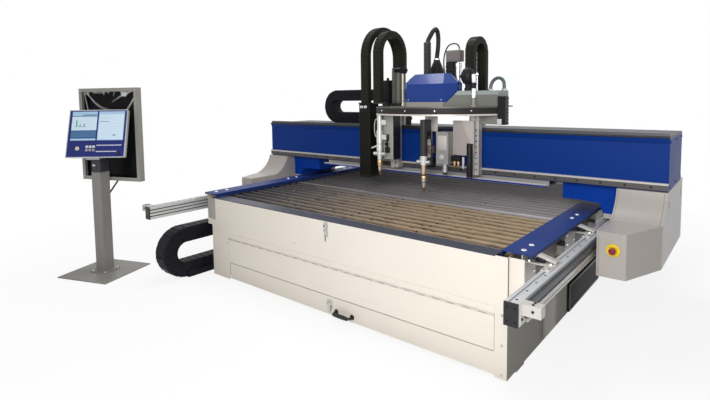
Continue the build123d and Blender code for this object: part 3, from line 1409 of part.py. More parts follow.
def cord(points, radius):
    """Round cord along points given from the carriage's middle, the beam's front and the plate's top."""
    placed = [(cx(x), cy(y), PLATE_TOP + z) for x, y, z in points]
    with BuildLine() as route:
        cord_path(placed)
    wire = route.wires()[0]
    with BuildSketch(Plane(origin=wire @ 0, z_dir=wire % 0)) as round_section:
        Circle(radius)
    sweep(round_section.sketch, path=wire)


with BuildPart() as torch_hose:
    cord(HOSE_POINTS, HOSE_R)
save(torch_hose, "torch_hose")

with BuildPart() as signal_cable:
    cord(CABLE_POINTS, CABLE_R)
save(signal_cable, "signal_cable")

with BuildPart() as relief_hose:
    cord(RELIEF_POINTS, LOOP_R)
save(relief_hose, "relief_hose")

# Black tool column on its slide, left of the plate
with BuildPart() as tool_column:
    column_x = (cx(COLUMN_X) - COLUMN_W / 2, cx(COLUMN_X) + COLUMN_W / 2)
    column_y = (cy(COLUMN_Y), column_back)
    block(column_x, column_y, (COLUMN_BOTTOM, COLUMN_TOP))
    fillet(tool_column.edges().filter_by(Axis.Z), COLUMN_WALL)
    bore_x = (column_x[0] + COLUMN_WALL, column_x[1] - COLUMN_WALL)
    bore_y = (column_y[0] + COLUMN_WALL, column_y[1] - COLUMN_WALL)
    block(bore_x, bore_y, (COLUMN_BOTTOM, COLUMN_BOTTOM + COLUMN_W), Mode.SUBTRACT)
    head_y = (column_y[0], column_y[0] + LIFT_CHAIN_H + COLUMN_HEAD_T)
    block(column_x, head_y, (COLUMN_TOP, column_chain_foot))
save(tool_column, "tool_column")


def torch(x, y, top, length, body_r, nozzle_h):
    """Cutting torch: a round body, a cross clamp and a tapered nozzle turned about one axis."""
    tip = top - length
    nozzle_top = tip + nozzle_h
    neck_top = tip + NOZZLE_TAPER_H + NOZZLE_NECK_H
    turned = [
        (0, tip),
        (NOZZLE_TIP_R, tip),
        (NOZZLE_NECK_R, tip + NOZZLE_TAPER_H),
        (NOZZLE_NECK_R, neck_top),
        (NOZZLE_R, neck_top + NOZZLE_FLARE_H),
        (NOZZLE_R, nozzle_top),
        (body_r, nozzle_top),
        (body_r, top),
        (0, top),
    ]
    plane = Plane(origin=(x, y, 0), x_dir=(1, 0, 0), z_dir=(0, -1, 0))
    revolve(outline(plane, turned), Axis((x, y, 0), (0, 0, 1)))
    lengthwise((x - CLAMP_ARM, x + CLAMP_ARM), y, nozzle_top + CLAMP_H / 2, CLAMP_R)


# Left torch with its lifter on the front of the left post
lifter_y = (POST_FRONT - SLIDE_T - SLIDE_CLEAR - LIFTER_D, POST_FRONT - SLIDE_T - SLIDE_CLEAR)
with BuildPart() as left_torch:
    lifter_x = (cx(LIFTER_X0), cx(LIFTER_X1))
    block(lifter_x, lifter_y, (LIFTER_HIGH - LIFTER_H, LIFTER_HIGH))
    fillet(left_torch.edges().filter_by(Axis.Z), BRACKET_T)
    mast_x = (cx(NOTCH_X) - SLIDE_T / 2 - LIFTER_MAST_W, cx(NOTCH_X) - SLIDE_T / 2)
    block(mast_x, (lifter_y[0], lifter_y[0] + LIFTER_MAST_D), (LIFTER_HIGH, COLUMN_TOP))
    foot_x = (cx(LIFTER_CHAIN_X) - LIFT_CHAIN_W / 2, mast_x[1])
    chain_foot_y = cy(COLUMN_CHAIN_FRONT)
    foot_y = (chain_foot_y - LIFT_CHAIN_H / 2, chain_foot_y + LIFT_CHAIN_H / 2)
    block(foot_x, foot_y, (COLUMN_TOP, column_chain_foot))
    torch(cx(TORCH_LEFT_X), cy(TORCH_LEFT_Y), TORCH_LEFT_TOP, TORCH_LEFT_H, TORCH_R, NOZZLE_H)
    holder_x = (cx(TORCH_LEFT_X) - NOZZLE_TIP_R, sum(lifter_x) / 2)
    for drop in (CLAMP_H, CLAMP_H + HOLDER_PITCH):
        top = TORCH_LEFT_TOP - drop
        block(holder_x, (cy(TORCH_LEFT_Y), lifter_y[0]), (top - CLAMP_H, top))
save(left_torch, "left_torch")

with BuildPart() as centre_torch:
    centre_y = cy(TORCH_CENTRE_Y)
    centre_at = (cx(TORCH_CENTRE_X), centre_y, TORCH_CENTRE_TOP)
    torch(*centre_at, TORCH_CENTRE_H, CENTRE_TUBE_R, NOZZLE_CENTRE_H)
    shoe_z = (TORCH_CENTRE_TOP - CENTRE_SHOE_H, TORCH_CENTRE_TOP)
    block(centre_x, (centre_y, centre_back), shoe_z)
save(centre_torch, "centre_torch")

# Marking unit on the front of the right post: plate, box, spindle and probe rod
with BuildPart() as marker_unit:
    slide_front = POST_FRONT - SLIDE_T - SLIDE_CLEAR
    plate_y = (slide_front - MARKER_PLATE_T, slide_front)
    plate_x = (cx(MARKER_PLATE_X0), cx(MARKER_PLATE_X1))
    block(plate_x, plate_y, (MARKER_PLATE_HIGH - MARKER_PLATE_H, MARKER_PLATE_HIGH))
    box_x = (cx(MARKER_BOX_X0), cx(MARKER_PLATE_X0))
    box_y = (slide_front - MARKER_BOX_D, slide_front)
    block(box_x, box_y, (MARKER_BOX_LOW, MARKER_BOX_HIGH))
    spindle_y = (box_y[0] + box_y[1]) / 2
    post(sum(box_x) / 2, spindle_y, (MARKER_BOX_LOW - SPINDLE_L, MARKER_BOX_LOW), SPINDLE_R)
    rod_y = plate_y[0] - ROD_R + BRACKET_T
    post(cx(ROD_X), rod_y, (ROD_HIGH - ROD_H, ROD_HIGH), ROD_R)
save(marker_unit, "marker_unit")


def console(height):
    """Level plane of the console, turned with its base."""
    turn = radians(CONSOLE_TURN)
    return Plane(origin=(CONSOLE_X, CONSOLE_Y, height), x_dir=(cos(turn), sin(turn), 0), z_dir=(0, 0, 1))


def console_block(x, y, z, mode=Mode.ADD):
    """Rectangular piece of the open part in the console's own directions."""
    with BuildSketch(console(z[0])) as drawn:
        with Locations(((x[0] + x[1]) / 2, (y[0] + y[1]) / 2)):
            Rectangle(x[1] - x[0], y[1] - y[0])
    extrude(drawn.sketch, amount=z[1] - z[0], mode=mode)


# Console foot, column and collar
with BuildPart() as console_base:
    half = BASE_SIDE / 2
    console_block((-half, half), (-half, half), (0, BASE_T))
    chamfer(console_base.faces().sort_by(Axis.Z)[-1].edges(), BASE_EDGE)
    half = COLUMN_FLANGE / 2
    console_block((-half, half), (-half, half), (BASE_T, BASE_T + COLUMN_FLANGE_T))
save(console_base, "console_base")

with BuildPart() as console_column:
    foot = BASE_T + COLUMN_FLANGE_T
    half = COLUMN_SIDE / 2
    console_block((-half, half), (-half, half), (foot, COLLAR_LOW))
    half = COLUMN_SIDE / 2 - COLUMN_TUBE_T
    console_block((-half, half), (-half, half), (foot, COLLAR_LOW), Mode.SUBTRACT)
save(console_column, "console_column")

with BuildPart() as console_collar:
    half = COLUMN_SIDE / 2
    console_block((-half, half), (-half, half), (COLLAR_LOW, COLLAR_HIGH))
    chamfer(console_collar.edges().filter_by(Axis.Z), COLUMN_TUBE_T)
    head = HEAD_SIDE / 2
    post(CONSOLE_X, CONSOLE_Y, (COLLAR_HIGH, HEAD_HIGH), PIVOT_R)
    arm_y = (0, HOOD_FRONT + HOOD_D - HOOD_WALL - LINER_T)
    console_block((-head, head), arm_y, (HEAD_HIGH - HEAD_SIDE, HEAD_HIGH))
save(console_collar, "console_collar")

# Rear hood: an open tray with a returned rim, and the brace under it
with BuildPart() as console_hood:
    half = HOOD_W / 2
    hood_y = (HOOD_FRONT, HOOD_FRONT + HOOD_D)
    console_block((-half, half), hood_y, (HOOD_LOW, HOOD_HIGH))
    inner = half - HOOD_WALL
    tray_y = (HOOD_FRONT + HOOD_WALL, HOOD_FRONT + HOOD_D - HOOD_WALL)
    console_block((-inner, inner), tray_y, (HOOD_LOW + HOOD_WALL, HOOD_HIGH - HOOD_WALL), Mode.SUBTRACT)
    mouth = half - HOOD_RIM
    mouth_y = (HOOD_FRONT, HOOD_FRONT + HOOD_WALL)
    console_block((-mouth, mouth), mouth_y, (HOOD_LOW + HOOD_RIM, HOOD_HIGH - HOOD_RIM), Mode.SUBTRACT)
    frame = console(0)
    brace_top = frame.from_local_coords((BRACE_X, HOOD_FRONT + HOOD_D / 2, HOOD_LOW))
    brace_foot = frame.from_local_coords((0, COLUMN_SIDE / 2 + BRACE_R, BRACE_LOW))
    with BuildLine() as strut:
        Line(brace_foot, brace_top)
    with BuildSketch(Plane(origin=brace_foot, z_dir=strut.line % 0)) as round_bar:
        Circle(BRACE_R)
    sweep(round_bar.sketch, path=strut.line)
save(console_hood, "console_hood")

with BuildPart() as hood_liner:
    liner_y = (hood_y[1] - HOOD_WALL - LINER_T, hood_y[1] - HOOD_WALL)
    console_block((-inner, inner), liner_y, (HOOD_LOW + HOOD_WALL, HOOD_HIGH - HOOD_WALL))
save(hood_liner, "hood_liner")

# Swivelling control panel: plane of its face, with X to its right and Y up its slope
yaw = radians(PANEL_TURN)
tilt = radians(PANEL_TILT)
panel_normal = Vector(sin(yaw) * cos(tilt), -cos(yaw) * cos(tilt), sin(tilt))
panel_right = Vector(cos(yaw), sin(yaw), 0)
panel_front = Vector(sin(yaw), -cos(yaw), 0)
panel_middle = Vector(CONSOLE_X, CONSOLE_Y, PANEL_Z) + panel_front * PANEL_REACH + panel_right * PANEL_SIDE


def panel(depth):
    """Plane of the panel's face, or one moved out along its normal."""
    return Plane(origin=panel_middle + panel_normal * depth, x_dir=panel_right, z_dir=panel_normal)


key_rows = [KEY_Y - KEY_PITCH / 2, KEY_Y + KEY_PITCH / 2]
key_places = [(KEY_X + KEY_PITCH * k, y) for y in key_rows for k in range(3)]
yoke_foot = (CONSOLE_X, CONSOLE_Y, COLLAR_HIGH + YOKE_CLEAR)
with BuildPart() as control_panel:
    with BuildSketch(panel(0)) as face:
        RectangleRounded(PANEL_W, PANEL_H, PANEL_CORNER)
    extrude(face.sketch, amount=-PANEL_D)
    with BuildSketch(Plane(origin=yoke_foot, x_dir=panel_right, z_dir=(0, 0, 1))) as yoke:
        with Locations((0, (YOKE_BACK - YOKE_FRONT) / 2)):
            Rectangle(YOKE_W, YOKE_BACK + YOKE_FRONT)
        Circle(PIVOT_R + PIN_CLEAR, mode=Mode.SUBTRACT)
    extrude(yoke.sketch, amount=YOKE_H)
    with BuildSketch(panel(0)) as glass:
        with Locations((0, SCREEN_RISE)):
            Rectangle(SCREEN_W, SCREEN_H)
    extrude(glass.sketch, amount=-SCREEN_T - SCREEN_DEPTH, mode=Mode.SUBTRACT)
    with BuildSketch(panel(0)) as wells:
        with Locations(*key_places):
            Rectangle(KEY_SIDE + 2 * KEY_CLEAR, KEY_SIDE + 2 * KEY_CLEAR)
        with Locations((DIAL_X, KEY_Y)):
            Circle(DIAL_R + KEY_CLEAR)
        with Locations((KNOB_X, KNOB_Y)):
            Circle(STEM_R + KEY_CLEAR)
    extrude(wells.sketch, amount=-KEY_POCKET, mode=Mode.SUBTRACT)
save(control_panel, "control_panel")

with BuildPart() as panel_screen:
    with BuildSketch(panel(-SCREEN_DEPTH)) as glass:
        with Locations((0, SCREEN_RISE)):
            Rectangle(SCREEN_W, SCREEN_H)
    extrude(glass.sketch, amount=-SCREEN_T)
save(panel_screen, "panel_screen")

# Six square keys, the round start button and the feed knob of the panel
key_back = -KEY_POCKET + KEY_TRAVEL + KEY_CLEAR
for number, place in enumerate(key_places, start=1):
    with BuildPart() as key:
        with BuildSketch(panel(key_back)) as square:
            with Locations(place):
                RectangleRounded(KEY_SIDE, KEY_SIDE, KEY_CORNER)
        extrude(square.sketch, amount=KEY_H - key_back)
    save(key, f"panel_key_{number}")

with BuildPart() as start_button:
    with BuildSketch(panel(key_back)) as disc:
        with Locations((DIAL_X, KEY_Y)):
            Circle(DIAL_R)
    extrude(disc.sketch, amount=KEY_H - key_back)
save(start_button, "start_button")

with BuildPart() as feed_knob:
    with BuildSketch(panel(KEY_CLEAR)) as disc:
        with Locations((KNOB_X, KNOB_Y)):
            RegularPolygon(KNOB_R, KNOB_SIDES)
    extrude(disc.sketch, amount=KNOB_H)
    with BuildSketch(panel(key_back)) as stem:
        with Locations((KNOB_X, KNOB_Y)):
            Circle(STEM_R)
    extrude(stem.sketch, amount=KEY_CLEAR - key_back)
save(feed_knob, "feed_knob")
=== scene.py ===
"""Gantry cutting machine with a slat table, end housings and an operator console, dressed for the studio."""

from __future__ import annotations

import logging
import math
import random
from dataclasses import dataclass, replace
from enum import Enum
from itertools import product
from typing import Callable, Iterable, Optional, Sequence, Union

import bmesh
import bpy
from mathutils import Matrix, Vector, noise


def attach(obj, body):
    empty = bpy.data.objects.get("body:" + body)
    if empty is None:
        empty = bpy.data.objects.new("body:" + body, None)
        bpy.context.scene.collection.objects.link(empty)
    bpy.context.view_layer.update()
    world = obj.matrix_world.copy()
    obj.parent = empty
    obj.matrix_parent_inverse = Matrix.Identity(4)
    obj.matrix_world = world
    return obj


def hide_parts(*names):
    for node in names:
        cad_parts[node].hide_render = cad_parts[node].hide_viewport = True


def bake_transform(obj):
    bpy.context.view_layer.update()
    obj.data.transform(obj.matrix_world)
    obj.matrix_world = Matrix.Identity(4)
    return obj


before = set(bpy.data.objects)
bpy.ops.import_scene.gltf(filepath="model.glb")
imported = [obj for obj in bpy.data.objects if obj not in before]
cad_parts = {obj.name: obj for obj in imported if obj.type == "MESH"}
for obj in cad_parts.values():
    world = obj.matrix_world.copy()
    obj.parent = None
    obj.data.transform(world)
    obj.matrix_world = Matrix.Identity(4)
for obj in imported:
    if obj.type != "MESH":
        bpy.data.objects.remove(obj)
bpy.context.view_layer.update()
LOG = logging.getLogger("cutting_machine")

Vec = Sequence[float]
Colour = tuple[float, float, float]
Limits = tuple[float, float]
WHITE = (1.0, 1.0, 1.0, 1.0)


class Slot(Enum):
    """Material slots of the machine."""

    SHEET = "sheet_grey"
    BLUE = "cover_blue"
    STEEL = "steel"
    SLAT = "slat_steel"
    ALUMINIUM = "aluminium"
    PLASTIC = "black_plastic"
    BLACK = "black_metal"
    DARK = "dark_strip"
    RUBBER = "rubber"
    YELLOW = "yellow"
    RED = "red"
    PANEL = "panel_grey"
    SCREEN = "screen"
    KEY = "key"


def binary(operation: str, swapped: bool = False) -> Callable[[Wire, Term], Wire]:
    """Makes an operator that adds one Math node.

    Args:
        operation: The node's operation.
        swapped: Whether the other value comes first.

    Returns:
        The operator.
    """

    def apply(self: Wire, other: Term) -> Wire:
        """Adds the node and gives its result."""
        first, second = (other, self) if swapped else (self, other)
        made = self.graph.node("ShaderNodeMath", {"operation": operation}, {0: first, 1: second})
        return self.graph.out(made, 0)

    return apply


class Wire:
    """A shader socket that Python's operators work on."""

    def __init__(self, graph: Graph, socket: bpy.types.NodeSocket) -> None:
        """Keeps the socket and the graph that it belongs to."""
        self.graph = graph
        self.socket = socket

    __add__, __radd__ = binary("ADD"), binary("ADD", True)
    __sub__, __rsub__ = binary("SUBTRACT"), binary("SUBTRACT", True)
    __mul__, __rmul__ = binary("MULTIPLY"), binary("MULTIPLY", True)
    __truediv__, __rtruediv__ = binary("DIVIDE"), binary("DIVIDE", True)
    __gt__, __lt__, __pow__ = binary("GREATER_THAN"), binary("LESS_THAN"), binary("POWER")
    at_least, at_most = binary("MAXIMUM"), binary("MINIMUM")

    def clamped(self) -> Wire:
        """The value held between zero and one."""
        return self.at_least(0.0).at_most(1.0)

    def between(self, low: float, high: float) -> Wire:
        """One where the value lies between two limits, else zero."""
        return (self > low) * (self < high)


Term = Union[Wire, float]


class Graph:
    """Node tree of one material or of the surroundings."""

    def __init__(self, tree: bpy.types.NodeTree) -> None:
        """Takes over a tree and empties it."""
        self.tree = tree
        tree.nodes.clear()

    def node(self, kind: str, settings: Optional[dict] = None, sockets: Optional[dict] = None) -> bpy.types.Node:
        """Adds a node of any type.

        Args:
            kind: The node's type.
            settings: Its properties, set first.
            sockets: Values or links of its inputs, by name or number.

        Returns:
            The new node.
        """
        made = self.tree.nodes.new(kind)
        for key, value in (settings or {}).items():
            setattr(made, key, value)
        for key, value in (sockets or {}).items():
            if isinstance(value, Wire):
                self.tree.links.new(value.socket, made.inputs[key])
            else:
                made.inputs[key].default_value = value
        return made

    def out(self, made: bpy.types.Node, key: Union[str, int]) -> Wire:
        """One output of a node, ready for expressions."""
        return Wire(self, made.outputs[key])

    def place(self) -> Wire:
        """Object coordinates, which are metres in the machine's frame."""
        return self.out(self.node("ShaderNodeTexCoord"), "Object")

    def split(self, vector: Wire) -> list[Wire]:
        """The three parts of a vector."""
        made = self.node("ShaderNodeSeparateXYZ", None, {0: vector})
        return [self.out(made, k) for k in range(3)]

    def noise(self, vector: Wire, scale: Union[float, Vec], detail: float = 2.0) -> Wire:
        """Noise between zero and one.

        Args:
            vector: Where it is read.
            scale: Waves in a metre, the same or its own along each axis.
            detail: Finer layers that are added.

        Returns:
            The noise.
        """
        waves = tuple(scale) if isinstance(scale, Sequence) else (scale,) * 3
        moved = self.node("ShaderNodeMapping", None, {"Vector": vector, "Scale": waves})
        sockets = {"Vector": self.out(moved, 0), "Scale": 1.0, "Detail": detail}
        return self.out(self.node("ShaderNodeTexNoise", None, sockets), 0)

    def mix(self, share: Term, first: Union[Wire, Colour], second: Union[Wire, Colour]) -> Wire:
        """Mixes two colours.

        Args:
            share: How much of the second colour there is.
            first: The first colour.
            second: The second colour.

        Returns:
            The mixed colour.
        """
        pair = [c if isinstance(c, Wire) else (*c, 1.0) for c in (first, second)]
        settings = {"data_type": "RGBA", "clamp_factor": True}
        return self.out(self.node("ShaderNodeMix", settings, {0: share, 6: pair[0], 7: pair[1]}), 2)

    def along(self, vector: Wire, origin: Vec, direction: Vec) -> Wire:
        """Distance of a place from an origin, along a direction."""
        away = self.node("ShaderNodeVectorMath", {"operation": "SUBTRACT"}, {0: vector, 1: tuple(origin)})
        sockets = {0: self.out(away, 0), 1: tuple(direction)}
        return self.out(self.node("ShaderNodeVectorMath", {"operation": "DOT_PRODUCT"}, sockets), "Value")

    def relief(self, height: Wire, depth: float, strength: float) -> Wire:
        """Normal of a surface raised by a height.

        Args:
            height: The height, between zero and one.
            depth: The rise of one, in metres.
            strength: How far the shading follows it.

        Returns:
            The normal.
        """
        sockets = {"Height": height, "Distance": depth, "Strength": strength}
        return self.out(self.node("ShaderNodeBump", None, sockets), 0)


FAR = 9.0
OPEN: Limits = (-FAR, FAR)


def above(value: float) -> Limits:
    """Limits that are open upwards."""
    return value, FAR


def below(value: float) -> Limits:
    """Limits that are open downwards."""
    return -FAR, value


def scaled(colour: Colour, factor: float) -> Colour:
    """A darker or lighter colour, with no channel above one."""
    return tuple(min(1.0, channel * factor) for channel in colour)


@dataclass(frozen=True)
class Zone:
    """A box in the machine's frame inside which a piece has a colour and a gloss of its own; some zones hold painted
    shade instead.
    """

    colour: Colour
    x: Limits = OPEN
    y: Limits = OPEN
    z: Limits = OPEN
    rough: float = 0.4
    metal: float = 0.0

    def share(self, axes: Sequence[Wire]) -> Wire:
        """One inside the zone, else zero.

        Args:
            axes: The three coordinates of a place.

        Returns:
            The share.
        """
        limited = [axis.between(*span) for axis, span in zip(axes, (self.x, self.y, self.z)) if span != OPEN]
        inside = limited[0]
        for more in limited[1:]:
            inside = inside * more
        return inside


class Coating:
    """Base of every finish: its material is built once, from the sockets that a finish sets."""

    name: str
    slot: Slot

    def sockets(self, graph: Graph) -> dict:
        """Values and links of the Principled shader, from nodes in a graph."""
        raise NotImplementedError

    def material(self) -> bpy.types.Material:
        """Gives the finish's material.

        Returns:
            The material, which the first call builds.
        """
        found = bpy.data.materials.get(self.name)
        if found:
            return found
        made = bpy.data.materials.new(self.name)
        made.use_nodes = True
        graph = Graph(made.node_tree)
        shader = graph.node("ShaderNodeBsdfPrincipled", None, self.sockets(graph))
        graph.node("ShaderNodeOutputMaterial", None, {0: graph.out(shader, 0)})
        return made


@dataclass(frozen=True)
class Finish(Coating):
    """Painted, plated, drawn or moulded surface, with its grain, drift of tone and dust."""

    BROAD_SHARE = 0.7
    ROUGH_BY_GRAIN, ROUGH_BY_PATCH = 0.16, 0.12
    ZONE_DARK = 0.92
    SCUFF_WAVES = (5.0, 5.0, 22.0)
    SCUFF_FROM, SCUFF_STEEP, SCUFF_DARK, SCUFF_ROUGH = 0.62, 9.0, 0.55, 0.2
    DUST_TOP, DUST = 0.28, (0.23, 0.2, 0.17)
    COAT_ROUGH, GRAIN_STRENGTH = 0.1, 0.35

    name: str
    slot: Slot
    colour: Colour
    rough: float = 0.4
    metal: float = 0.0
    coat: float = 0.0
    gloss: float = 0.3
    drift: float = 0.07
    patch: float = 1.6
    grain: Union[float, Vec] = 240.0
    depth: float = 0.0003
    scuff: float = 0.0
    dust: float = 0.0
    zones: tuple[Zone, ...] = ()

    def sockets(self, graph: Graph) -> dict:
        """Mixes the tones, zones, scuffs and dust of the finish.

        Args:
            graph: The tree that the nodes go into.

        Returns:
            The shader's sockets.
        """
        place = graph.place()
        axes = graph.split(place)
        broad = graph.noise(place, self.patch, 3.0)
        fine = graph.noise(place, self.grain)
        dark, light = scaled(self.colour, 1 - 2 * self.drift), scaled(self.colour, 1 + 2 * self.drift)
        tone = graph.mix(broad * self.BROAD_SHARE + fine * (1 - self.BROAD_SHARE), dark, light)
        rough = self.rough + (fine - 0.5) * self.ROUGH_BY_GRAIN + (broad - 0.5) * self.ROUGH_BY_PATCH
        metal: Term = self.metal
        for zone in self.zones:
            inside = zone.share(axes)
            patched = graph.mix(broad * 0.5 + fine * 0.5, scaled(zone.colour, self.ZONE_DARK), zone.colour)
            tone = graph.mix(inside, tone, patched)
            rough = rough + inside * (zone.rough - rough)
            metal = metal + inside * (zone.metal - metal)
        if self.scuff:
            streak = graph.noise(place, self.SCUFF_WAVES, 6.0)
            mark = ((streak - self.SCUFF_FROM) * self.SCUFF_STEEP).clamped() * self.scuff
            tone = graph.mix(mark, tone, scaled(self.colour, self.SCUFF_DARK))
            rough = rough + mark * self.SCUFF_ROUGH
        if self.dust:
            low_down = ((self.DUST_TOP - axes[2]) / self.DUST_TOP).clamped() ** 2.0
            tone = graph.mix(low_down * broad * self.dust, tone, self.DUST)
        return {
            "Base Color": tone,
            "Roughness": rough.clamped(),
            "Metallic": metal,
            "Specular IOR Level": self.gloss,
            "Coat Weight": self.coat,
            "Coat Roughness": self.COAT_ROUGH,
            "Normal": graph.relief(fine, self.depth, self.GRAIN_STRENGTH),
        }


def brushed(waves: float) -> Vec:
    """Grain of a surface that is turned about, or drawn across, the upright axis."""
    return 60.0, 60.0, waves


RIGHT_WALL: Limits = (1.3765, 1.3775)
LEFT_WALL: Limits = (-1.3775, -1.3765)
# Grey on the outer faces of the cream side walls: painted shade, as the walls stand in shade under the rails.
WALL_SHADE_GREY: Colour = (0.25, 0.235, 0.215)
SOOTY: Colour = (0.085, 0.08, 0.075)
CREAM = Finish("cream_powder_coat", Slot.SHEET, (0.74, 0.685, 0.61), 0.46, drift=0.03, scuff=0.08, dust=0.4)
# Painted shade on the recessed upper corner at the front left, where the front meets the side wall.
EAR_SHADE = Zone((0.4, 0.375, 0.345), x=below(-1.3255), y=below(-1.25), z=above(0.515))
FRONT = replace(CREAM, name="front_cream", zones=(EAR_SHADE, Zone((0.04, 0.046, 0.066), z=above(0.7078))))
HINGED = replace(CREAM, name="hinged_cream", zones=(Zone((0.64, 0.6, 0.545), y=below(-1.3045), metal=0.2),))
SHELL = replace(
    CREAM, name="wall_cream", gloss=0.1,
    zones=(
        # Painted shade on the outer faces of both side walls.
        Zone(WALL_SHADE_GREY, x=RIGHT_WALL, rough=0.5),
        Zone(WALL_SHADE_GREY, x=LEFT_WALL, rough=0.5),
        Zone((0.022, 0.022, 0.022), x=RIGHT_WALL, y=(-0.215, 0.68), z=(0.0, 0.315), rough=0.5),
        Zone(SOOTY, x=(1.15, 1.3745), y=(-1.25, 1.27), z=(0.35, 0.702), rough=0.6),
        Zone(SOOTY, x=(-1.3745, -1.15), y=(-1.25, 1.27), z=(0.35, 0.702), rough=0.6),
        EAR_SHADE,
    ),
)
STIFFENER = Finish("stiffener_grey", Slot.SHEET, (0.33, 0.31, 0.285), 0.45, drift=0.05, dust=0.4)
WARM_GREY = Finish(
    "warm_grey_powder_coat", Slot.SHEET, (0.44, 0.405, 0.378), 0.3, gloss=0.2, drift=0.03, scuff=0.05,
)
STAND_GREY = Finish(
    "stand_grey_powder_coat", Slot.SHEET, (0.27, 0.262, 0.245), 0.42, gloss=0.2, drift=0.05, dust=0.2,
)
HOOD_GREY = Finish(
    "hood_grey_powder_coat", Slot.SHEET, (0.34, 0.325, 0.3), 0.4, drift=0.05,
    zones=(Zone((0.02, 0.02, 0.022), z=(0.0, 0.8375), rough=0.35),),
)
BLUE: Colour = (0.003, 0.036, 0.235)
BEAM_BLUE = Finish("beam_blue_paint", Slot.BLUE, BLUE, 0.45, gloss=0.1, drift=0.05)
# Painted shadow under the fold along the top of the beam's front.
FOLD_SHADOW_BLUE = Finish("beam_fold_shadow", Slot.BLUE, (0.001, 0.014, 0.09), 0.5, gloss=0.1, drift=0.08)
LEG_BLUE = Finish("leg_blue_paint", Slot.BLUE, (0.001, 0.05, 0.38), 0.45, gloss=0.1, drift=0.05)
COVER_NAVY = Finish(
    "cover_navy_paint", Slot.BLUE, (0.016, 0.04, 0.18), 0.42, gloss=0.12, drift=0.07, scuff=0.1,
)
HOOD_BLUE = Finish("motor_cover_blue_paint", Slot.BLUE, BLUE, 0.26, coat=0.35, gloss=0.15, drift=0.04)
# Painted shade in the grooves of the rails.
GROOVE_SHADE: Colour = (0.11, 0.113, 0.118)
DRAWN = Finish(
    "drawn_aluminium", Slot.ALUMINIUM, (0.58, 0.59, 0.59), 0.4, 0.4, grain=(700.0, 8.0, 700.0), depth=0.0002,
    zones=tuple(
        Zone(GROOVE_SHADE, x=span, z=(0.583, 0.681), rough=0.5)
        for span in ((-1.622, -1.61), (-1.571, -1.559), (1.559, 1.571), (1.61, 1.622))
    ),
)
BRACKET = Finish("bracket_plate", Slot.ALUMINIUM, (0.53, 0.51, 0.475), 0.42, 0.2, drift=0.06, scuff=0.15)
MILLED = Finish("milled_plate", Slot.ALUMINIUM, (0.58, 0.555, 0.525), 0.42, 0.3, grain=brushed(520.0), scuff=0.12)
ZINC = Finish("zinc_plate", Slot.STEEL, (0.52, 0.52, 0.51), 0.38, 0.8, drift=0.1, patch=14.0)
SCREW = Finish("bright_screw", Slot.STEEL, (0.86, 0.86, 0.86), 0.22, 0.8, grain=900.0)
CHROME = Finish("hard_chrome", Slot.STEEL, (0.8, 0.81, 0.83), 0.14, 1.0, grain=(40.0, 40.0, 900.0), depth=0.0001)
BRASS = Finish("nozzle_brass", Slot.STEEL, (0.66, 0.46, 0.24), 0.28, 0.85, grain=brushed(900.0))
PIPE = Finish("pale_pipe", Slot.STEEL, (0.66, 0.63, 0.5), 0.34, 0.4, grain=brushed(900.0))
# Dark colour of the seams and joints, and of the painted shadow line under the door's fold.
SEAM_AND_SHADOW = Finish("seam_shadow", Slot.SHEET, (0.25, 0.225, 0.2), 0.6, gloss=0.1, drift=0.15, patch=12.0)
SILVER = Finish("torch_silver", Slot.ALUMINIUM, (0.72, 0.715, 0.69), 0.3, 0.6, grain=brushed(700.0))
MAST_GREY = Finish("mast_grey", Slot.ALUMINIUM, (0.1, 0.098, 0.088), 0.45, 0.2, grain=brushed(700.0))
HEAD_GREY = Finish("servo_head_grey", Slot.ALUMINIUM, (0.21, 0.18, 0.178), 0.48, 0.1, drift=0.08)
PINK_GREY = Finish(
    "marker_shield", Slot.ALUMINIUM, (0.56, 0.5, 0.475), 0.46, 0.1, grain=brushed(300.0), drift=0.08,
)
BROWN = Finish("sensor_brown", Slot.ALUMINIUM, (0.2, 0.16, 0.14), 0.46, 0.2, drift=0.12, patch=20.0)
CHAIN_BLACK = Finish(
    "chain_olive_black", Slot.PLASTIC, (0.017, 0.0165, 0.012), 0.5, gloss=0.1, drift=0.12, patch=9.0,
)
FLOOR_CHAIN = Finish(
    "chain_blue_black", Slot.PLASTIC, (0.009, 0.009, 0.013), 0.48, gloss=0.1, drift=0.15, patch=9.0,
)
PLASTIC = Finish("moulded_black", Slot.PLASTIC, (0.017, 0.017, 0.019), 0.38, drift=0.15, patch=8.0, depth=0.0006)
COLUMN = Finish("column_black", Slot.PLASTIC, (0.009, 0.009, 0.008), 0.4, gloss=0.1, drift=0.12, patch=5.0)
BLACK = Finish("satin_black_paint", Slot.BLACK, (0.014, 0.014, 0.016), 0.4, gloss=0.15, drift=0.12, patch=6.0)
COLLAR = Finish("collar_black_paint", Slot.BLACK, (0.036, 0.038, 0.044), 0.4, gloss=0.25, drift=0.1, patch=6.0)
STRIP = Finish("strip_blue_black", Slot.DARK, (0.022, 0.025, 0.036), 0.4, gloss=0.2, drift=0.12)
RUBBER = Finish("hose_rubber", Slot.RUBBER, (0.016, 0.017, 0.02), 0.3, drift=0.12, patch=20.0)
CONDUIT = Finish("conduit_rubber", Slot.RUBBER, (0.052, 0.053, 0.058), 0.42, drift=0.15, patch=20.0)
RELIEF = Finish("relief_hose_blue_grey", Slot.RUBBER, (0.1, 0.125, 0.15), 0.28, coat=0.2, drift=0.08, patch=20.0)
PALE_HOSE = Finish("pale_hose", Slot.RUBBER, (0.55, 0.55, 0.5), 0.38, drift=0.08, patch=20.0)
YELLOW = Finish("stop_yellow", Slot.YELLOW, (0.8, 0.57, 0.01), 0.36, coat=0.15, drift=0.05, patch=20.0)
RED = Finish("stop_red", Slot.RED, (0.22, 0.01, 0.02), 0.3, coat=0.2, drift=0.06, patch=30.0)
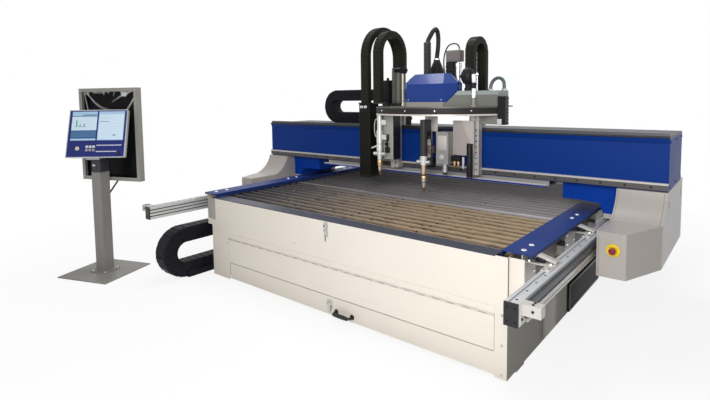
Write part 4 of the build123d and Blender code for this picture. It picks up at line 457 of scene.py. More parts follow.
KEYCAP = Finish("keycap", Slot.KEY, (0.66, 0.68, 0.71), 0.4, drift=0.05, patch=30.0)
GREY_KEY = replace(KEYCAP, name="grey_keycap", colour=(0.36, 0.35, 0.4))
DIAL = Finish("start_cap", Slot.KEY, (0.66, 0.62, 0.46), 0.38, drift=0.06, patch=30.0)
PLATE = Finish(
    "station_plate_paint", Slot.DARK, (0.024, 0.021, 0.02), 0.44, gloss=0.2, drift=0.1,
    zones=(
        Zone((0.125, 0.122, 0.11), z=above(1.4995), rough=0.36, metal=0.4),
        Zone((0.7, 0.66, 0.6), z=(1.43, 1.4502), rough=0.32, metal=0.3),
    ),
)
BOX = Finish(
    "carriage_box_paint", Slot.SHEET, (0.185, 0.188, 0.168), 0.42, drift=0.06,
    zones=(
        Zone((0.36, 0.345, 0.32), x=below(0.4525), y=below(-0.1225)),
        Zone((0.265, 0.262, 0.245), z=(0.0, 1.4995), metal=0.1),
        Zone((0.4, 0.39, 0.365), x=above(0.8025)),
        Zone((0.34, 0.385, 0.375), z=above(1.603), rough=0.32, metal=0.2),
    ),
)
GUIDES = Finish(
    "beam_guide_steel", Slot.STEEL, (0.1, 0.094, 0.094), 0.42, 0.4, grain=(6.0, 700.0, 700.0),
    zones=(
        Zone((0.62, 0.585, 0.56), z=(0.9895, 1.0035), rough=0.36, metal=0.2),
        Zone((0.085, 0.085, 0.09), z=above(1.3), rough=0.36, metal=0.6),
    ),
)
RAIL_GUIDES = Finish(
    "rail_guide_steel", Slot.STEEL, (0.055, 0.058, 0.065), 0.38, 0.5, grain=(700.0, 6.0, 700.0),
    zones=(Zone((0.5, 0.485, 0.465), z=(0.0, 0.6245), rough=0.32, metal=0.6),),
)
TRAY = Finish(
    "tray_paint", Slot.STEEL, (0.5, 0.49, 0.48), 0.36, 0.3,
    zones=(
        Zone((0.6, 0.56, 0.55), y=below(-0.1085), rough=0.36),
        Zone((0.006, 0.045, 0.33), y=below(-0.1085), z=(0.0, 0.9115), rough=0.4),
    ),
)
LIFTER = Finish(
    "lifter_plate", Slot.ALUMINIUM, (0.4, 0.41, 0.365), 0.42, 0.2, grain=brushed(400.0), scuff=0.15,
    zones=(
        Zone((0.018, 0.018, 0.02), x=above(-0.0855)),
        Zone((0.72, 0.715, 0.69), y=below(-0.2985), rough=0.3, metal=0.6),
        Zone((0.68, 0.52, 0.36), z=(0.0, 1.0395), rough=0.28, metal=0.8),
        Zone((0.02, 0.02, 0.022), z=above(1.4405)),
    ),
)
CENTRE = Finish(
    "centre_torch_black", Slot.STEEL, (0.036, 0.035, 0.034), 0.36, 0.2,
    zones=(
        Zone((0.76, 0.755, 0.745), z=(1.0215, 1.098), rough=0.24, metal=0.8),
        Zone((0.7, 0.54, 0.36), z=(0.0, 1.0215), rough=0.26, metal=0.85),
        Zone((0.8, 0.76, 0.7), z=(0.84, 0.905), rough=0.24, metal=0.8),
    ),
)
MARKER = Finish(
    "marker_plate", Slot.ALUMINIUM, (0.46, 0.41, 0.385), 0.46, 0.1, grain=brushed(300.0), scuff=0.15,
    zones=(
        Zone((0.34, 0.335, 0.32), x=below(0.4502), metal=0.2),
        Zone((0.05, 0.048, 0.046), z=(0.0, 1.0345), rough=0.36, metal=0.4),
    ),
)
PAN = Finish("slag_pan_scale", Slot.SLAT, (0.085, 0.066, 0.055), 0.62, 0.25, drift=0.3, patch=5.0, scuff=0.4)
SLAG = Finish("slag_crust", Slot.SLAT, (0.34, 0.28, 0.21), 0.6, 0.2, drift=0.3, patch=30.0, depth=0.001)
COMB = Finish("comb_scale", Slot.SLAT, (0.06, 0.054, 0.048), 0.6, 0.2, drift=0.25, patch=6.0, scuff=0.3)


@dataclass(frozen=True)
class HeatedSlats(Coating):
    """Bare slats: grey steel, browned by heat towards the right, with bright worn crests; a painted sheen pales them
    towards the right and painted shade darkens the gaps between them.
    """

    name: str = "heated_slat_steel"
    slot: Slot = Slot.SLAT
    zone: Limits = (-1.2, -0.262)
    crest: float = 0.7046
    worn_depth: float = 0.0012
    shade_start: float = 0.006
    shade_depth: float = 0.024
    dirt_depth: float = 0.075
    left_reach: float = 1.2
    tint_and_sheen_width: float = 1.9
    grey: Colour = (0.145, 0.136, 0.147)
    pale: Colour = (0.48, 0.455, 0.465)
    # Pale steel that the painted sheen reaches towards the right.
    brown: Colour = (0.52, 0.385, 0.245)
    soot_and_shade: Colour = (0.03, 0.025, 0.022)
    bright: Colour = (0.5, 0.45, 0.39)

    def sockets(self, graph: Graph) -> dict:
        """Mixes bare steel with its painted sheen, heat tint, soot with painted shade in the gaps, and worn crests.

        Args:
            graph: The tree that the nodes go into.

        Returns:
            The shader's sockets.
        """
        place = graph.place()
        x, y, z = graph.split(place)
        smear = graph.noise(place, (1.3, 30.0, 9.0), 4.0)
        blotch = graph.noise(place, (7.0, 7.0, 20.0), 5.0)
        fine = graph.noise(place, 160.0)
        cut = y.between(*self.zone)
        right = ((x + self.left_reach) / self.tint_and_sheen_width).clamped()
        heated = cut * (right * 1.25 - 0.12) * (0.55 + smear * 0.9)
        # The bare steel grows paler towards the right: a painted sheen.
        steel_and_sheen = graph.mix((right * 0.75 + (smear - 0.5) * 0.5).clamped(), self.grey, self.pale)
        tone = graph.mix(heated.clamped(), steel_and_sheen, self.brown)
        drop = ((self.crest - z) / self.dirt_depth).clamped()
        dirt = (drop * 0.6 + (blotch - 0.55) * 1.5).clamped() * (0.3 + cut * 0.45)
        # Painted shade in the gaps between the slats, below the top few millimetres of each crest.
        shade = ((self.crest - self.shade_start - z) / self.shade_depth).clamped() * 0.72
        tone = graph.mix((dirt + shade).clamped(), tone, self.soot_and_shade)
        worn = (z > self.crest - self.worn_depth) * (blotch * 1.5).clamped() * 0.45
        return {
            "Base Color": graph.mix(worn, tone, self.bright),
            "Roughness": (0.62 - worn * 0.22 + (fine - 0.5) * 0.2).clamped(),
            "Metallic": (0.25 + worn * 0.3).clamped(),
            "Normal": graph.relief(fine * 0.5 + blotch * 0.5, 0.0015, 0.5),
        }


@dataclass(frozen=True)
class Area:
    """A rectangle on the panel's face, in metres from its middle."""

    left: float
    right: float
    low: float
    high: float
    colour: Colour


@dataclass(frozen=True)
class PanelFace(Coating):
    """Printed face or lit display of the control panel, drawn in the plane of its face."""

    name: str
    slot: Slot
    ground: Colour
    areas: tuple[Area, ...]
    edge: Colour
    glow: float = 0.0
    rough: float = 0.3
    skin: float = 0.0015

    def sockets(self, graph: Graph) -> dict:
        """Draws the areas on the face and the plain edge round it.

        Args:
            graph: The tree that the nodes go into.

        Returns:
            The shader's sockets.
        """
        place = graph.place()
        across, up, out = [graph.along(place, PANEL_AT, axis) for axis in (PANEL_RIGHT, PANEL_UP, PANEL_OUT)]
        broad = graph.noise(place, 6.0, 3.0)
        fine = graph.noise(place, 300.0)
        tone = graph.mix(broad, scaled(self.ground, 0.85), scaled(self.ground, 1.12))
        for area in self.areas:
            inside = across.between(area.left, area.right) * up.between(area.low, area.high)
            tone = graph.mix(inside, tone, area.colour)
        face = out > -self.skin
        return {
            "Base Color": graph.mix(face, graph.mix(fine, scaled(self.edge, 0.9), self.edge), tone),
            "Roughness": (self.rough + (fine - 0.5) * 0.1 + (broad - 0.5) * 0.08).clamped(),
            "Metallic": (1 - face) * 0.3,
            "Specular IOR Level": 0.25,
            "Normal": graph.relief(fine, 0.0001, 0.2),
            "Emission Color": tone,
            "Emission Strength": self.glow,
        }


CONSOLE_AT = Vector((-2.278, -1.871, 0.0))
CONSOLE_TURN = math.radians(21.0)
PANEL_YAW = math.radians(39.57)
PANEL_TILT = math.radians(16.0)
PANEL_RIGHT = Vector((math.cos(PANEL_YAW), math.sin(PANEL_YAW), 0.0))
PANEL_FRONT = Vector((math.sin(PANEL_YAW), -math.cos(PANEL_YAW), 0.0))
PANEL_OUT = PANEL_FRONT * math.cos(PANEL_TILT) + Vector((0.0, 0.0, math.sin(PANEL_TILT)))
PANEL_UP = PANEL_OUT.cross(PANEL_RIGHT)
PANEL_AT = CONSOLE_AT + PANEL_FRONT * 0.118 + PANEL_RIGHT * 0.048 + Vector((0.0, 0.0, 1.301))

SKY: Colour = (0.4, 0.6, 0.8)
ICE: Colour = (0.62, 0.78, 0.9)
MID: Colour = (0.07, 0.17, 0.34)
RULE: Colour = (0.5, 0.62, 0.72)
STRIPE: Colour = (0.6, 0.58, 0.7)
DISPLAY = PanelFace(
    "lit_display", Slot.SCREEN, (0.018, 0.032, 0.19),
    (
        Area(-0.234, -0.01, 0.164, 0.203, SKY),
        Area(-0.234, -0.01, 0.03, 0.158, ICE),
        Area(-0.234, -0.01, -0.036, 0.024, MID),
        Area(-0.234, -0.01, -0.062, -0.044, SKY),
        Area(0.004, 0.236, -0.062, 0.203, SKY),
        Area(0.01, 0.23, -0.054, 0.176, ICE),
        Area(-0.196, -0.184, 0.066, 0.122, (0.1, 0.42, 0.16)),
        Area(-0.164, -0.154, 0.066, 0.088, (0.22, 0.34, 0.36)),
        Area(-0.128, -0.118, 0.066, 0.094, (0.22, 0.38, 0.34)),
        Area(-0.206, -0.1, 0.062, 0.066, (0.2, 0.3, 0.36)),
        Area(0.018, 0.098, 0.106, 0.111, (0.16, 0.26, 0.42)),
        Area(0.14, 0.166, -0.02, -0.01, (0.14, 0.22, 0.38)),
        Area(0.018, 0.12, 0.14, 0.144, (0.45, 0.58, 0.7)),
        Area(0.15, 0.215, 0.06, 0.063, RULE),
        Area(0.15, 0.215, 0.09, 0.093, RULE),
        Area(-0.14, -0.016, 0.168, 0.176, (0.1, 0.2, 0.4)),
    ),
    (0.02, 0.02, 0.03), glow=0.1, rough=0.2, skin=0.0045,
)
FACE = PanelFace(
    "panel_face_print", Slot.PANEL, (0.017, 0.026, 0.175),
    (Area(0.006, 0.228, -0.112, -0.103, STRIPE), Area(0.006, 0.188, -0.168, -0.159, STRIPE)),
    (0.46, 0.47, 0.49), rough=0.34,
)
GLINT_ATTRIBUTE = "painted_glint"


@dataclass(frozen=True)
class LinerFilm(Coating):
    """Thin glossy black film, creased where it is stretched, with painted glints on its creases."""

    name: str = "liner_film"
    slot: Slot = Slot.PLASTIC
    colour: Colour = (0.004, 0.004, 0.005)
    glint: Colour = (0.86, 0.87, 0.89)

    def sockets(self, graph: Graph) -> dict:
        """Mixes the film's black with painted glints on its ridges and along its ragged hem, and the fine crinkle of
        its skin.

        Args:
            graph: The tree that the nodes go into.

        Returns:
            The shader's sockets.
        """
        place = graph.place()
        crease = graph.noise(place, (14.0, 14.0, 7.0), 5.0)
        fine = graph.noise(place, 70.0, 3.0)
        # Painted glints: pale colour on the film's ridges and ragged hem stands in for reflections.
        painted_glint = graph.out(graph.node("ShaderNodeAttribute", {"attribute_name": GLINT_ATTRIBUTE}), "Fac")
        shine = (painted_glint * (0.5 + crease * 1.6) - 0.12).clamped()
        film = graph.mix(crease, self.colour, scaled(self.colour, 2.2))
        return {
            "Base Color": graph.mix(shine, film, self.glint),
            "Roughness": (0.22 + crease * 0.16).clamped(),
            "Specular IOR Level": 0.06,
            "Normal": graph.relief(crease * 0.8 + fine * 0.2, 0.004, 0.4),
        }


Mount = tuple[Vec, Vec]
Profile = Sequence[tuple[float, float]]
HANDS = (-1, 1)
UPRIGHT: Vec = (0.0, 0.0, 1.0)
DOWN: Vec = (0.0, 0.0, -1.0)
AHEAD: Vec = (0.0, -1.0, 0.0)
BACK: Vec = (0.0, 1.0, 0.0)
RIGHT: Vec = (1.0, 0.0, 0.0)
LEFT: Vec = (-1.0, 0.0, 0.0)
SHARP = math.radians(32.0)
MERGE = 1e-6


def facing(place: Vec, out: Vec, along: Optional[Vec] = None) -> Matrix:
    """Matrix that stands a shape on a surface.

    Args:
        place: Where its foot is.
        out: Where its Z points.
        along: Where its X points, if that matters.

    Returns:
        The matrix.
    """
    z = Vector(out).normalized()
    x = (Vector(along) if along is not None else z.orthogonal()).normalized()
    turn = Matrix((x, z.cross(x), z)).transposed().to_4x4()
    return Matrix.Translation(Vector(place)) @ turn


def upright(place: Vec, z: float) -> Matrix:
    """Seat that stands upright over a place on the plan."""
    return Matrix.Translation((place[0], place[1], z))


def on_face(out: Vec, level: float, places: Iterable[tuple[float, float]]) -> list[Mount]:
    """Mounts on a flat face.

    Args:
        out: Where the face looks, along one axis.
        level: Where the face is on that axis.
        places: The other two coordinates of each mount.

    Returns:
        Each mount's place, and where it looks.
    """
    axis = [abs(part) for part in out].index(1.0)
    return [((*place[:axis], level, *place[axis:]), out) for place in places]


def mirrored(mounts: Iterable[Mount]) -> list[Mount]:
    """Mounts on the left and on the right, from those on the right."""
    kept = list(mounts)
    return [((hand * x, y, z), (hand * a, b, c)) for hand in HANDS for (x, y, z), (a, b, c) in kept]


def edges_of(verts: Iterable[bmesh.types.BMVert]) -> list[bmesh.types.BMEdge]:
    """Edges at some vertices, each once, in the order in which they are met."""
    return list(dict.fromkeys(edge for vert in verts for edge in vert.link_edges))


def faces_of(verts: Iterable[bmesh.types.BMVert]) -> list[bmesh.types.BMFace]:
    """Faces at some vertices, each once, in the order in which they are met."""
    return list(dict.fromkeys(face for vert in verts for face in vert.link_faces))


class Shape:
    """A mesh in the making, in metres in the machine's frame; what adds to it gives it back."""

    def __init__(self) -> None:
        """Starts an empty mesh."""
        self.bm = bmesh.new()

    def round(self, edges: Iterable[bmesh.types.BMEdge], width: float, steps: int = 2) -> None:
        """Rounds some edges.

        Args:
            edges: The edges.
            width: How far the rounding reaches.
            steps: Its segments.
        """
        bmesh.ops.bevel(
            self.bm, geom=list(edges), offset=width, offset_type="OFFSET", affect="EDGES", segments=steps,
            profile=0.5, material=-1, clamp_overlap=True,
        )

    def cube(self, low: Vec, high: Vec, matrix: Optional[Matrix] = None) -> list[bmesh.types.BMVert]:
        """Adds a sharp block between two corners and gives its vertices."""
        size = Vector(high) - Vector(low)
        middle = (Vector(high) + Vector(low)) / 2
        seat = (matrix or Matrix()) @ Matrix.Translation(middle) @ Matrix.Diagonal((*size, 1.0))
        return bmesh.ops.create_cube(self.bm, size=1.0, matrix=seat)["verts"]

    def block(
        self, low: Vec, high: Vec, edge: float = 0.0, steps: int = 2, matrix: Optional[Matrix] = None
    ) -> Shape:
        """Adds a block between two corners.

        Args:
            low: Its lowest corner.
            high: Its highest corner.
            edge: Rounding of all its edges.
            steps: Segments of the rounding.
            matrix: A frame that the corners are given in.

        Returns:
            The shape.
        """
        made = self.cube(low, high, matrix)
        if edge:
            self.round(edges_of(made), edge, steps)
        return self

    def pair(self, low: Vec, high: Vec, edge: float = 0.0, steps: int = 2) -> Shape:
        """Adds a block on the right and its mirror image on the left, as block does."""
        self.block((-high[0], *low[1:]), (-low[0], *high[1:]), edge, steps)
        return self.block(low, high, edge, steps)

    def plate(self, outline: Sequence[Vec], away: Vec) -> Shape:
        """Adds a flat plate.

        Args:
            outline: Its corners on one side.
            away: Where its other side lies.

        Returns:
            The shape.
        """
        face = self.bm.faces.new([self.bm.verts.new(corner) for corner in outline])
        made = bmesh.ops.extrude_face_region(self.bm, geom=[face])["geom"]
        moved = [item for item in made if isinstance(item, bmesh.types.BMVert)]
        bmesh.ops.translate(self.bm, vec=away, verts=moved)
        bmesh.ops.recalc_face_normals(self.bm, faces=list(dict.fromkeys([*faces_of(moved), face])))
        return self

    def drum(
        self, seat: Matrix, radius: float, height: float, top: Optional[float] = None, steps: int = 24,
        edge: float = 0.0,
    ) -> Shape:
        """Adds a round or many-sided drum that stands on a seat.

        Args:
            seat: Its foot, with Z along its axis.
            radius: Radius at the foot.
            height: Its height.
            top: Radius at the top, if it tapers.
            steps: Sides.
            edge: Rounding of its two rims.

        Returns:
            The shape.
        """
        made = bmesh.ops.create_cone(
            self.bm, cap_ends=True, segments=steps, radius1=radius, radius2=radius if top is None else top,
            depth=height, matrix=seat @ Matrix.Translation((0.0, 0.0, height / 2)),
        )["verts"]
        if edge:
            self.round([e for e in edges_of(made) if any(len(f.verts) > 4 for f in e.link_faces)], edge)
        return self

    def heads(
        self, mounts: Iterable[Mount], radius: float, height: float, steps: int = 10, edge: float = 0.0
    ) -> Shape:
        """Adds a like drum on every mount, as drum does."""
        for place, out in mounts:
            self.drum(facing(place, out), radius, height, steps=steps, edge=edge)
        return self

    def lathe(self, seat: Matrix, profile: Profile, steps: int) -> Shape:
        """Adds a turned shape.

        Args:
            seat: Its foot, with Z along its axis.
            profile: Radius and height of each point, from the foot up.
            steps: Sides.

        Returns:
            The shape.
        """
        chain = [self.bm.verts.new((radius, 0.0, height)) for radius, height in profile]
        edges = [self.bm.edges.new(pair) for pair in zip(chain, chain[1:])]
        before = set(self.bm.verts) - set(chain)
        bmesh.ops.spin(
            self.bm, geom=chain + edges, cent=(0.0, 0.0, 0.0), axis=UPRIGHT, angle=2 * math.pi, steps=steps,
            use_merge=True,
        )
        made = [v for v in self.bm.verts if v not in before]
        bmesh.ops.remove_doubles(self.bm, verts=made, dist=MERGE)
        made = [v for v in self.bm.verts if v not in before]
        bmesh.ops.recalc_face_normals(self.bm, faces=faces_of(made))
        bmesh.ops.transform(self.bm, matrix=seat, verts=made)
        return self

    def stamp(self, pattern: bpy.types.Mesh, seats: Iterable[Matrix]) -> Shape:
        """Adds a copy of a finished mesh on every seat, and drops the mesh.

        Args:
            pattern: The mesh.
            seats: Where the copies go.

        Returns:
            The shape.
        """
        for seat in seats:
            before = len(self.bm.verts)
            self.bm.from_mesh(pattern)
            self.bm.verts.ensure_lookup_table()
            bmesh.ops.transform(self.bm, matrix=seat, verts=self.bm.verts[before:])
        bpy.data.meshes.remove(pattern)
        return self

    def mesh(self, name: str) -> bpy.types.Mesh:
        """Closes the shape.

        Args:
            name: The mesh's name.

        Returns:
            A mesh with smooth faces and sharp edges.
        """
        made = bpy.data.meshes.new(name)
        self.bm.to_mesh(made)
        self.bm.free()
        made.shade_smooth()
        made.set_sharp_from_angle(angle=SHARP)
        return made

    def piece(self, name: str, body: Optional[str], finish: Coating, *nodes: str) -> bpy.types.Object:
        """Makes the shape a piece of the machine, as enrol does."""
        return enrol(bpy.data.objects.new(name, self.mesh(name)), body, finish, *nodes)


def enrol(made: bpy.types.Object, body: Optional[str], finish: Coating, *nodes: str) -> bpy.types.Object:
    """Links an object, gives it its finish and ties it to its body.

    Args:
        made: The object.
        body: The body that it moves with, or none.
        finish: Its surface.
        nodes: Plain solids that it stands for.

    Returns:
        The same object.
    """
    bpy.context.scene.collection.objects.link(made)
    made.data.materials.append(finish.material())
    if body:
        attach(made, body)
    if nodes:
        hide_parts(*nodes)
    LOG.info("piece %s on %s", made.name, body)
    return made


@dataclass
class Screws:
    """A set of like screw heads on one body."""

    TAPER = 0.72

    name: str
    body: str
    mounts: list[Mount]
    radius: float = 0.007
    height: float = 0.004
    sides: int = 10
    finish: Coating = SCREW

    def build(self) -> None:
        """Stamps a tapered head on every mount."""
        head = Shape().drum(Matrix(), self.radius, self.height, self.radius * self.TAPER, self.sides)
        seats = [facing(place, out) for place, out in self.mounts]
        Shape().stamp(head.mesh(self.name + ".head"), seats).piece(self.name, self.body, self.finish)


@dataclass
class Chain:
    """Energy chain of closed links along two straight runs and the half-turn between them."""

    CHEEK, LID = 0.09, 0.05
    LID_REACH, CHEEK_REACH, ROUNDING = 0.93, 0.96, 0.3
    PIN, PIN_RISE = 0.19, 0.08
    DUCT_WIDE, DUCT_TALL = 0.475, 0.47
    TURN_STEPS = 28

    name: str
    centre: Vec
    run: Vec
    rise: Vec
    radius: float
    width: float
    height: float
    pitch: float
    plus: float
    minus: float
    finish: Finish

    def seats(self) -> list[Matrix]:
        """Places of the links.

        Returns:
            Their frames, from the foot of the minus run to the foot of the plus run.
        """
        along, out = Vector(self.run), Vector(self.rise)
        places: list[tuple[Vector, Vector, Vector]] = []
        count = round(self.minus / self.pitch)
        for k in range(count):
            reach = self.minus * (1 - (k + 0.5) / count)
            places.append((along * reach - out * self.radius, -along, -out))
        turns = round(math.pi * self.radius / self.pitch)
        for k in range(turns):
            angle = math.pi * (k + 0.5) / turns
            away = -out * math.cos(angle) - along * math.sin(angle)
            places.append((away * self.radius, out * math.sin(angle) - along * math.cos(angle), away))
        count = round(self.plus / self.pitch)
        for k in range(count):
            reach = self.plus * (k + 0.5) / count
            places.append((along * reach + out * self.radius, along, out))
        middle = Vector(self.centre)
        return [facing(middle + place, away, heading) for place, heading, away in places]

    def link(self) -> bpy.types.Mesh:
        """Makes one link.

        Returns:
            Two lids and two cheeks that nearly meet the next link's.
        """
        shape = Shape()
        half, side, tall = self.pitch / 2, self.width / 2, self.height / 2
        cheek, lid = self.width * self.CHEEK, self.height * self.LID
        reach = half * self.LID_REACH
        for low in (-tall, tall - lid):
            shape.block((-reach, cheek - side, low), (reach, side - cheek, low + lid), lid * self.ROUNDING, 1)
        reach, rise = half * self.CHEEK_REACH, tall * self.CHEEK_REACH
        for hand in HANDS:
            face = sorted((hand * side, hand * (side - cheek)))
            shape.block((-reach, face[0], -rise), (reach, face[1], rise), cheek * self.ROUNDING, 1)
            seat = facing((-half / 2, hand * side, 0.0), (0.0, hand, 0.0))
            shape.drum(seat, self.height * self.PIN, cheek * self.PIN_RISE, steps=12)
        return shape.mesh(self.name + ".link")

    def core(self) -> Shape:
        """Draws the closed duct that the links lie round.

        Returns:
            The shape that it starts.
        """
        shape = Shape()
        along, out, middle = Vector(self.run), Vector(self.rise), Vector(self.centre)
        across = along.cross(out)
        side, tall = across * (self.width * self.DUCT_WIDE), out * (self.height * self.DUCT_TALL)
        start = middle + along * self.minus - out * self.radius
        section = [start + side * a + tall * b for a, b in ((-1, -1), (1, -1), (1, 1), (-1, 1))]
        face = shape.bm.faces.new([shape.bm.verts.new(place) for place in section])
        ring = [face, *face.edges, *face.verts]
        for stage in range(3):
            if stage == 1:
                made = bmesh.ops.spin(
                    shape.bm, geom=ring, cent=middle, axis=across, angle=-math.pi, steps=self.TURN_STEPS,
                )["geom_last"]
            else:
                made = bmesh.ops.extrude_face_region(shape.bm, geom=ring)["geom"]
                moved = [item for item in made if isinstance(item, bmesh.types.BMVert)]
                bmesh.ops.translate(shape.bm, vec=along * (self.plus if stage else -self.minus), verts=moved)
            ring = [item for item in made if item.is_valid]
        bmesh.ops.recalc_face_normals(shape.bm, faces=list(shape.bm.faces))
        return shape

    def build(self, body: Optional[str] = None) -> bpy.types.Object:
        """Draws the duct and stamps the links round it.

        Args:
            body: The body that the chain moves with, or none.

        Returns:
            The piece, which stands for the plain chain.
        """
        pattern = self.link()
        return self.core().stamp(pattern, self.seats()).piece(self.name + "_links", body, self.finish, self.name)


@dataclass
class Chains:
    """All energy chains; the marker chain moves with the carriage, and the other four are tied to no body."""

    lift_width: float = 0.08
    lift_height: float = 0.058
    lift_pitch: float = 0.038

    def lift(self, name: str, place: Vec, radius: float, rear: float, front: float) -> Chain:
        """A chain that rises over the carriage.

        Args:
            name: Its solid.
            place: Middle of its half-turn.
            radius: Radius of its half-turn.
            rear: Length of its rear leg.
            front: Length of its front leg.

        Returns:
            The chain.
        """
        return Chain(
            name, place, DOWN, BACK, radius, self.lift_width, self.lift_height, self.lift_pitch, rear, front,
            CHAIN_BLACK,
        )

    def build(self) -> None:
        """Builds the five chains."""
        floor = Chain(
            "y_chain", (-1.585, -1.48, 0.2303), BACK, UPRIGHT, 0.1575, 0.15, 0.135, 0.062, 1.43, 1.7,
            FLOOR_CHAIN,
        ).build()
        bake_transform(floor)
        beam = Chain(
            "x_chain", (-1.227, 0.315, 1.4943), RIGHT, UPRIGHT, 0.121, 0.15, 0.118, 0.055, 1.077, 0.89,
            FLOOR_CHAIN,
        ).build()
        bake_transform(beam)
        column = self.lift("column_chain", (-0.374, -0.0535, 1.96), 0.2535, 0.4497, 0.4147).build()
        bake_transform(column)
        lifter = self.lift("lifter_chain", (-0.234, -0.121, 1.978), 0.186, 0.1137, 0.4327).build()
        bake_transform(lifter)
        self.lift("marker_chain", (0.553, 0.022, 1.948), 0.11, 0.4377, 0.3127).build("carriage")


@dataclass
class Cord:
    """A free hose or cable on the carriage or a tool, along its control points."""

    name: str
    points: list[Vec]
    radius: float
    length: float
    finish: Finish
    body: str = "carriage"
    nodes: tuple[str, ...] = ()
    stiffness: str = "stiff"

    def build(self) -> None:
        """Draws the cord as one smooth spline."""
        curve = bpy.data.curves.new(self.name, "CURVE")
        curve.dimensions = "3D"
        curve.bevel_depth = self.radius
        curve.bevel_resolution = 5
        curve.resolution_u = 10
        curve.use_fill_caps = True
        spline = curve.splines.new("NURBS")
        spline.points.add(len(self.points) - 1)
        for knot, place in zip(spline.points, self.points):
            knot.co = (*place, 1.0)
        spline.order_u = 3
        spline.use_endpoint_u = True
        made = enrol(bpy.data.objects.new(self.name, curve), self.body, self.finish, *self.nodes)


@dataclass
class Cords:
    """Hoses, cables and the ribbed conduit of the carriage and its tools."""

    RIB = ((0.22, 0.7), (0.34, 1.0), (0.54, 1.0), (0.66, 0.7), (0.86, 0.0))

    zero: Vec = (0.245, -0.069, 1.51)
    conduit_at: Vec = (-0.135, 0.029, 0.0)
    conduit_height: float = 0.56
    conduit_plain: float = 0.23
    conduit_pitch: float = 0.0165
    conduit_root: float = 0.029
    conduit_crest: float = 0.034
    conduit_bore: float = 0.022

    def route(self, *points: Vec) -> list[Vec]:
        """Moves points from millimetres at the carriage's zero into the machine's frame."""
        return [tuple(Vector(self.zero) + Vector(p) / 1000) for p in points]

    def conduit(self) -> None:
        """Builds the ribbed conduit as a turned tube."""
        bore, root, plain, height = self.conduit_bore, self.conduit_root, self.conduit_plain, self.conduit_height
        profile = [(bore, 0.0), (root, 0.0), (root, plain)]
        for k in range(int((height - plain) / self.conduit_pitch)):
            low = plain + self.conduit_pitch * k
            for share, swell in self.RIB:
                profile.append((root + (self.conduit_crest - root) * swell, low + self.conduit_pitch * share))
        profile += [(root, height), (bore, height), profile[0]]
        foot = Vector(self.zero) + Vector(self.conduit_at)
        shape = Shape().lathe(Matrix.Translation(foot), profile, 28)
        made = shape.piece("conduit_ribs", "carriage", CONDUIT, "torch_conduit")

    def build(self) -> None:
        """Builds the conduit and every cord."""
        self.conduit()
        hose = self.route(
            (-135, 29, 500), (-134, 30, 556), (-130, 35, 580), (-118, 49, 615), (-105, 74, 660), (-95, 99, 682),
            (-90, 124, 668), (-91, 143, 620), (-95, 151, 569), (-104, 159, 500), (-118, 165, 440), (-118, 165, 410),
        )
        Cord("hose_line", hose, 0.02, 0.496, RUBBER, nodes=("torch_hose",)).build()
        signal = self.route(
            (48, 74, 250), (30, 74, 250), (15, 74, 278), (7, 73, 320), (4, 71, 376), (10, 70, 436), (28, 69, 490),
            (58, 69, 526), (98, 69, 536), (138, 69, 528), (157, 69, 502), (157, 69, 475),
        )
        Cord("signal_line", signal, 0.006, 0.444, RUBBER, nodes=("signal_cable",), stiffness="medium").build()
        relief = self.route(
            (418, 120, 125), (418, 120, 155), (424, 126, 186), (442, 130, 215), (472, 134, 232), (504, 134, 226),
            (526, 132, 202), (532, 130, 172), (532, 130, 125),
        )
        Cord("relief_line", relief, 0.014, 0.269, RELIEF, nodes=("relief_hose",)).build()
        gas = [
            (-0.231, -0.33, 1.4), (-0.246, -0.331, 1.4), (-0.258, -0.332, 1.38), (-0.263, -0.333, 1.34),
            (-0.263, -0.333, 1.296), (-0.257, -0.333, 1.258), (-0.246, -0.332, 1.236), (-0.231, -0.33, 1.236),
        ]
        Cord("left_gas_line", gas, 0.0045, 0.195, PALE_HOSE, "left_tool", stiffness="medium").build()
        sensor = [
            (0.273, -0.318, 1.262), (0.288, -0.316, 1.266), (0.302, -0.312, 1.25), (0.309, -0.306, 1.215),
            (0.31, -0.302, 1.17), (0.306, -0.3, 1.125), (0.3, -0.3, 1.096), (0.296, -0.3, 1.078),
        ]
        Cord("sensor_line", sensor, 0.005, 0.209, RUBBER, "centre_tool", stiffness="medium").build()


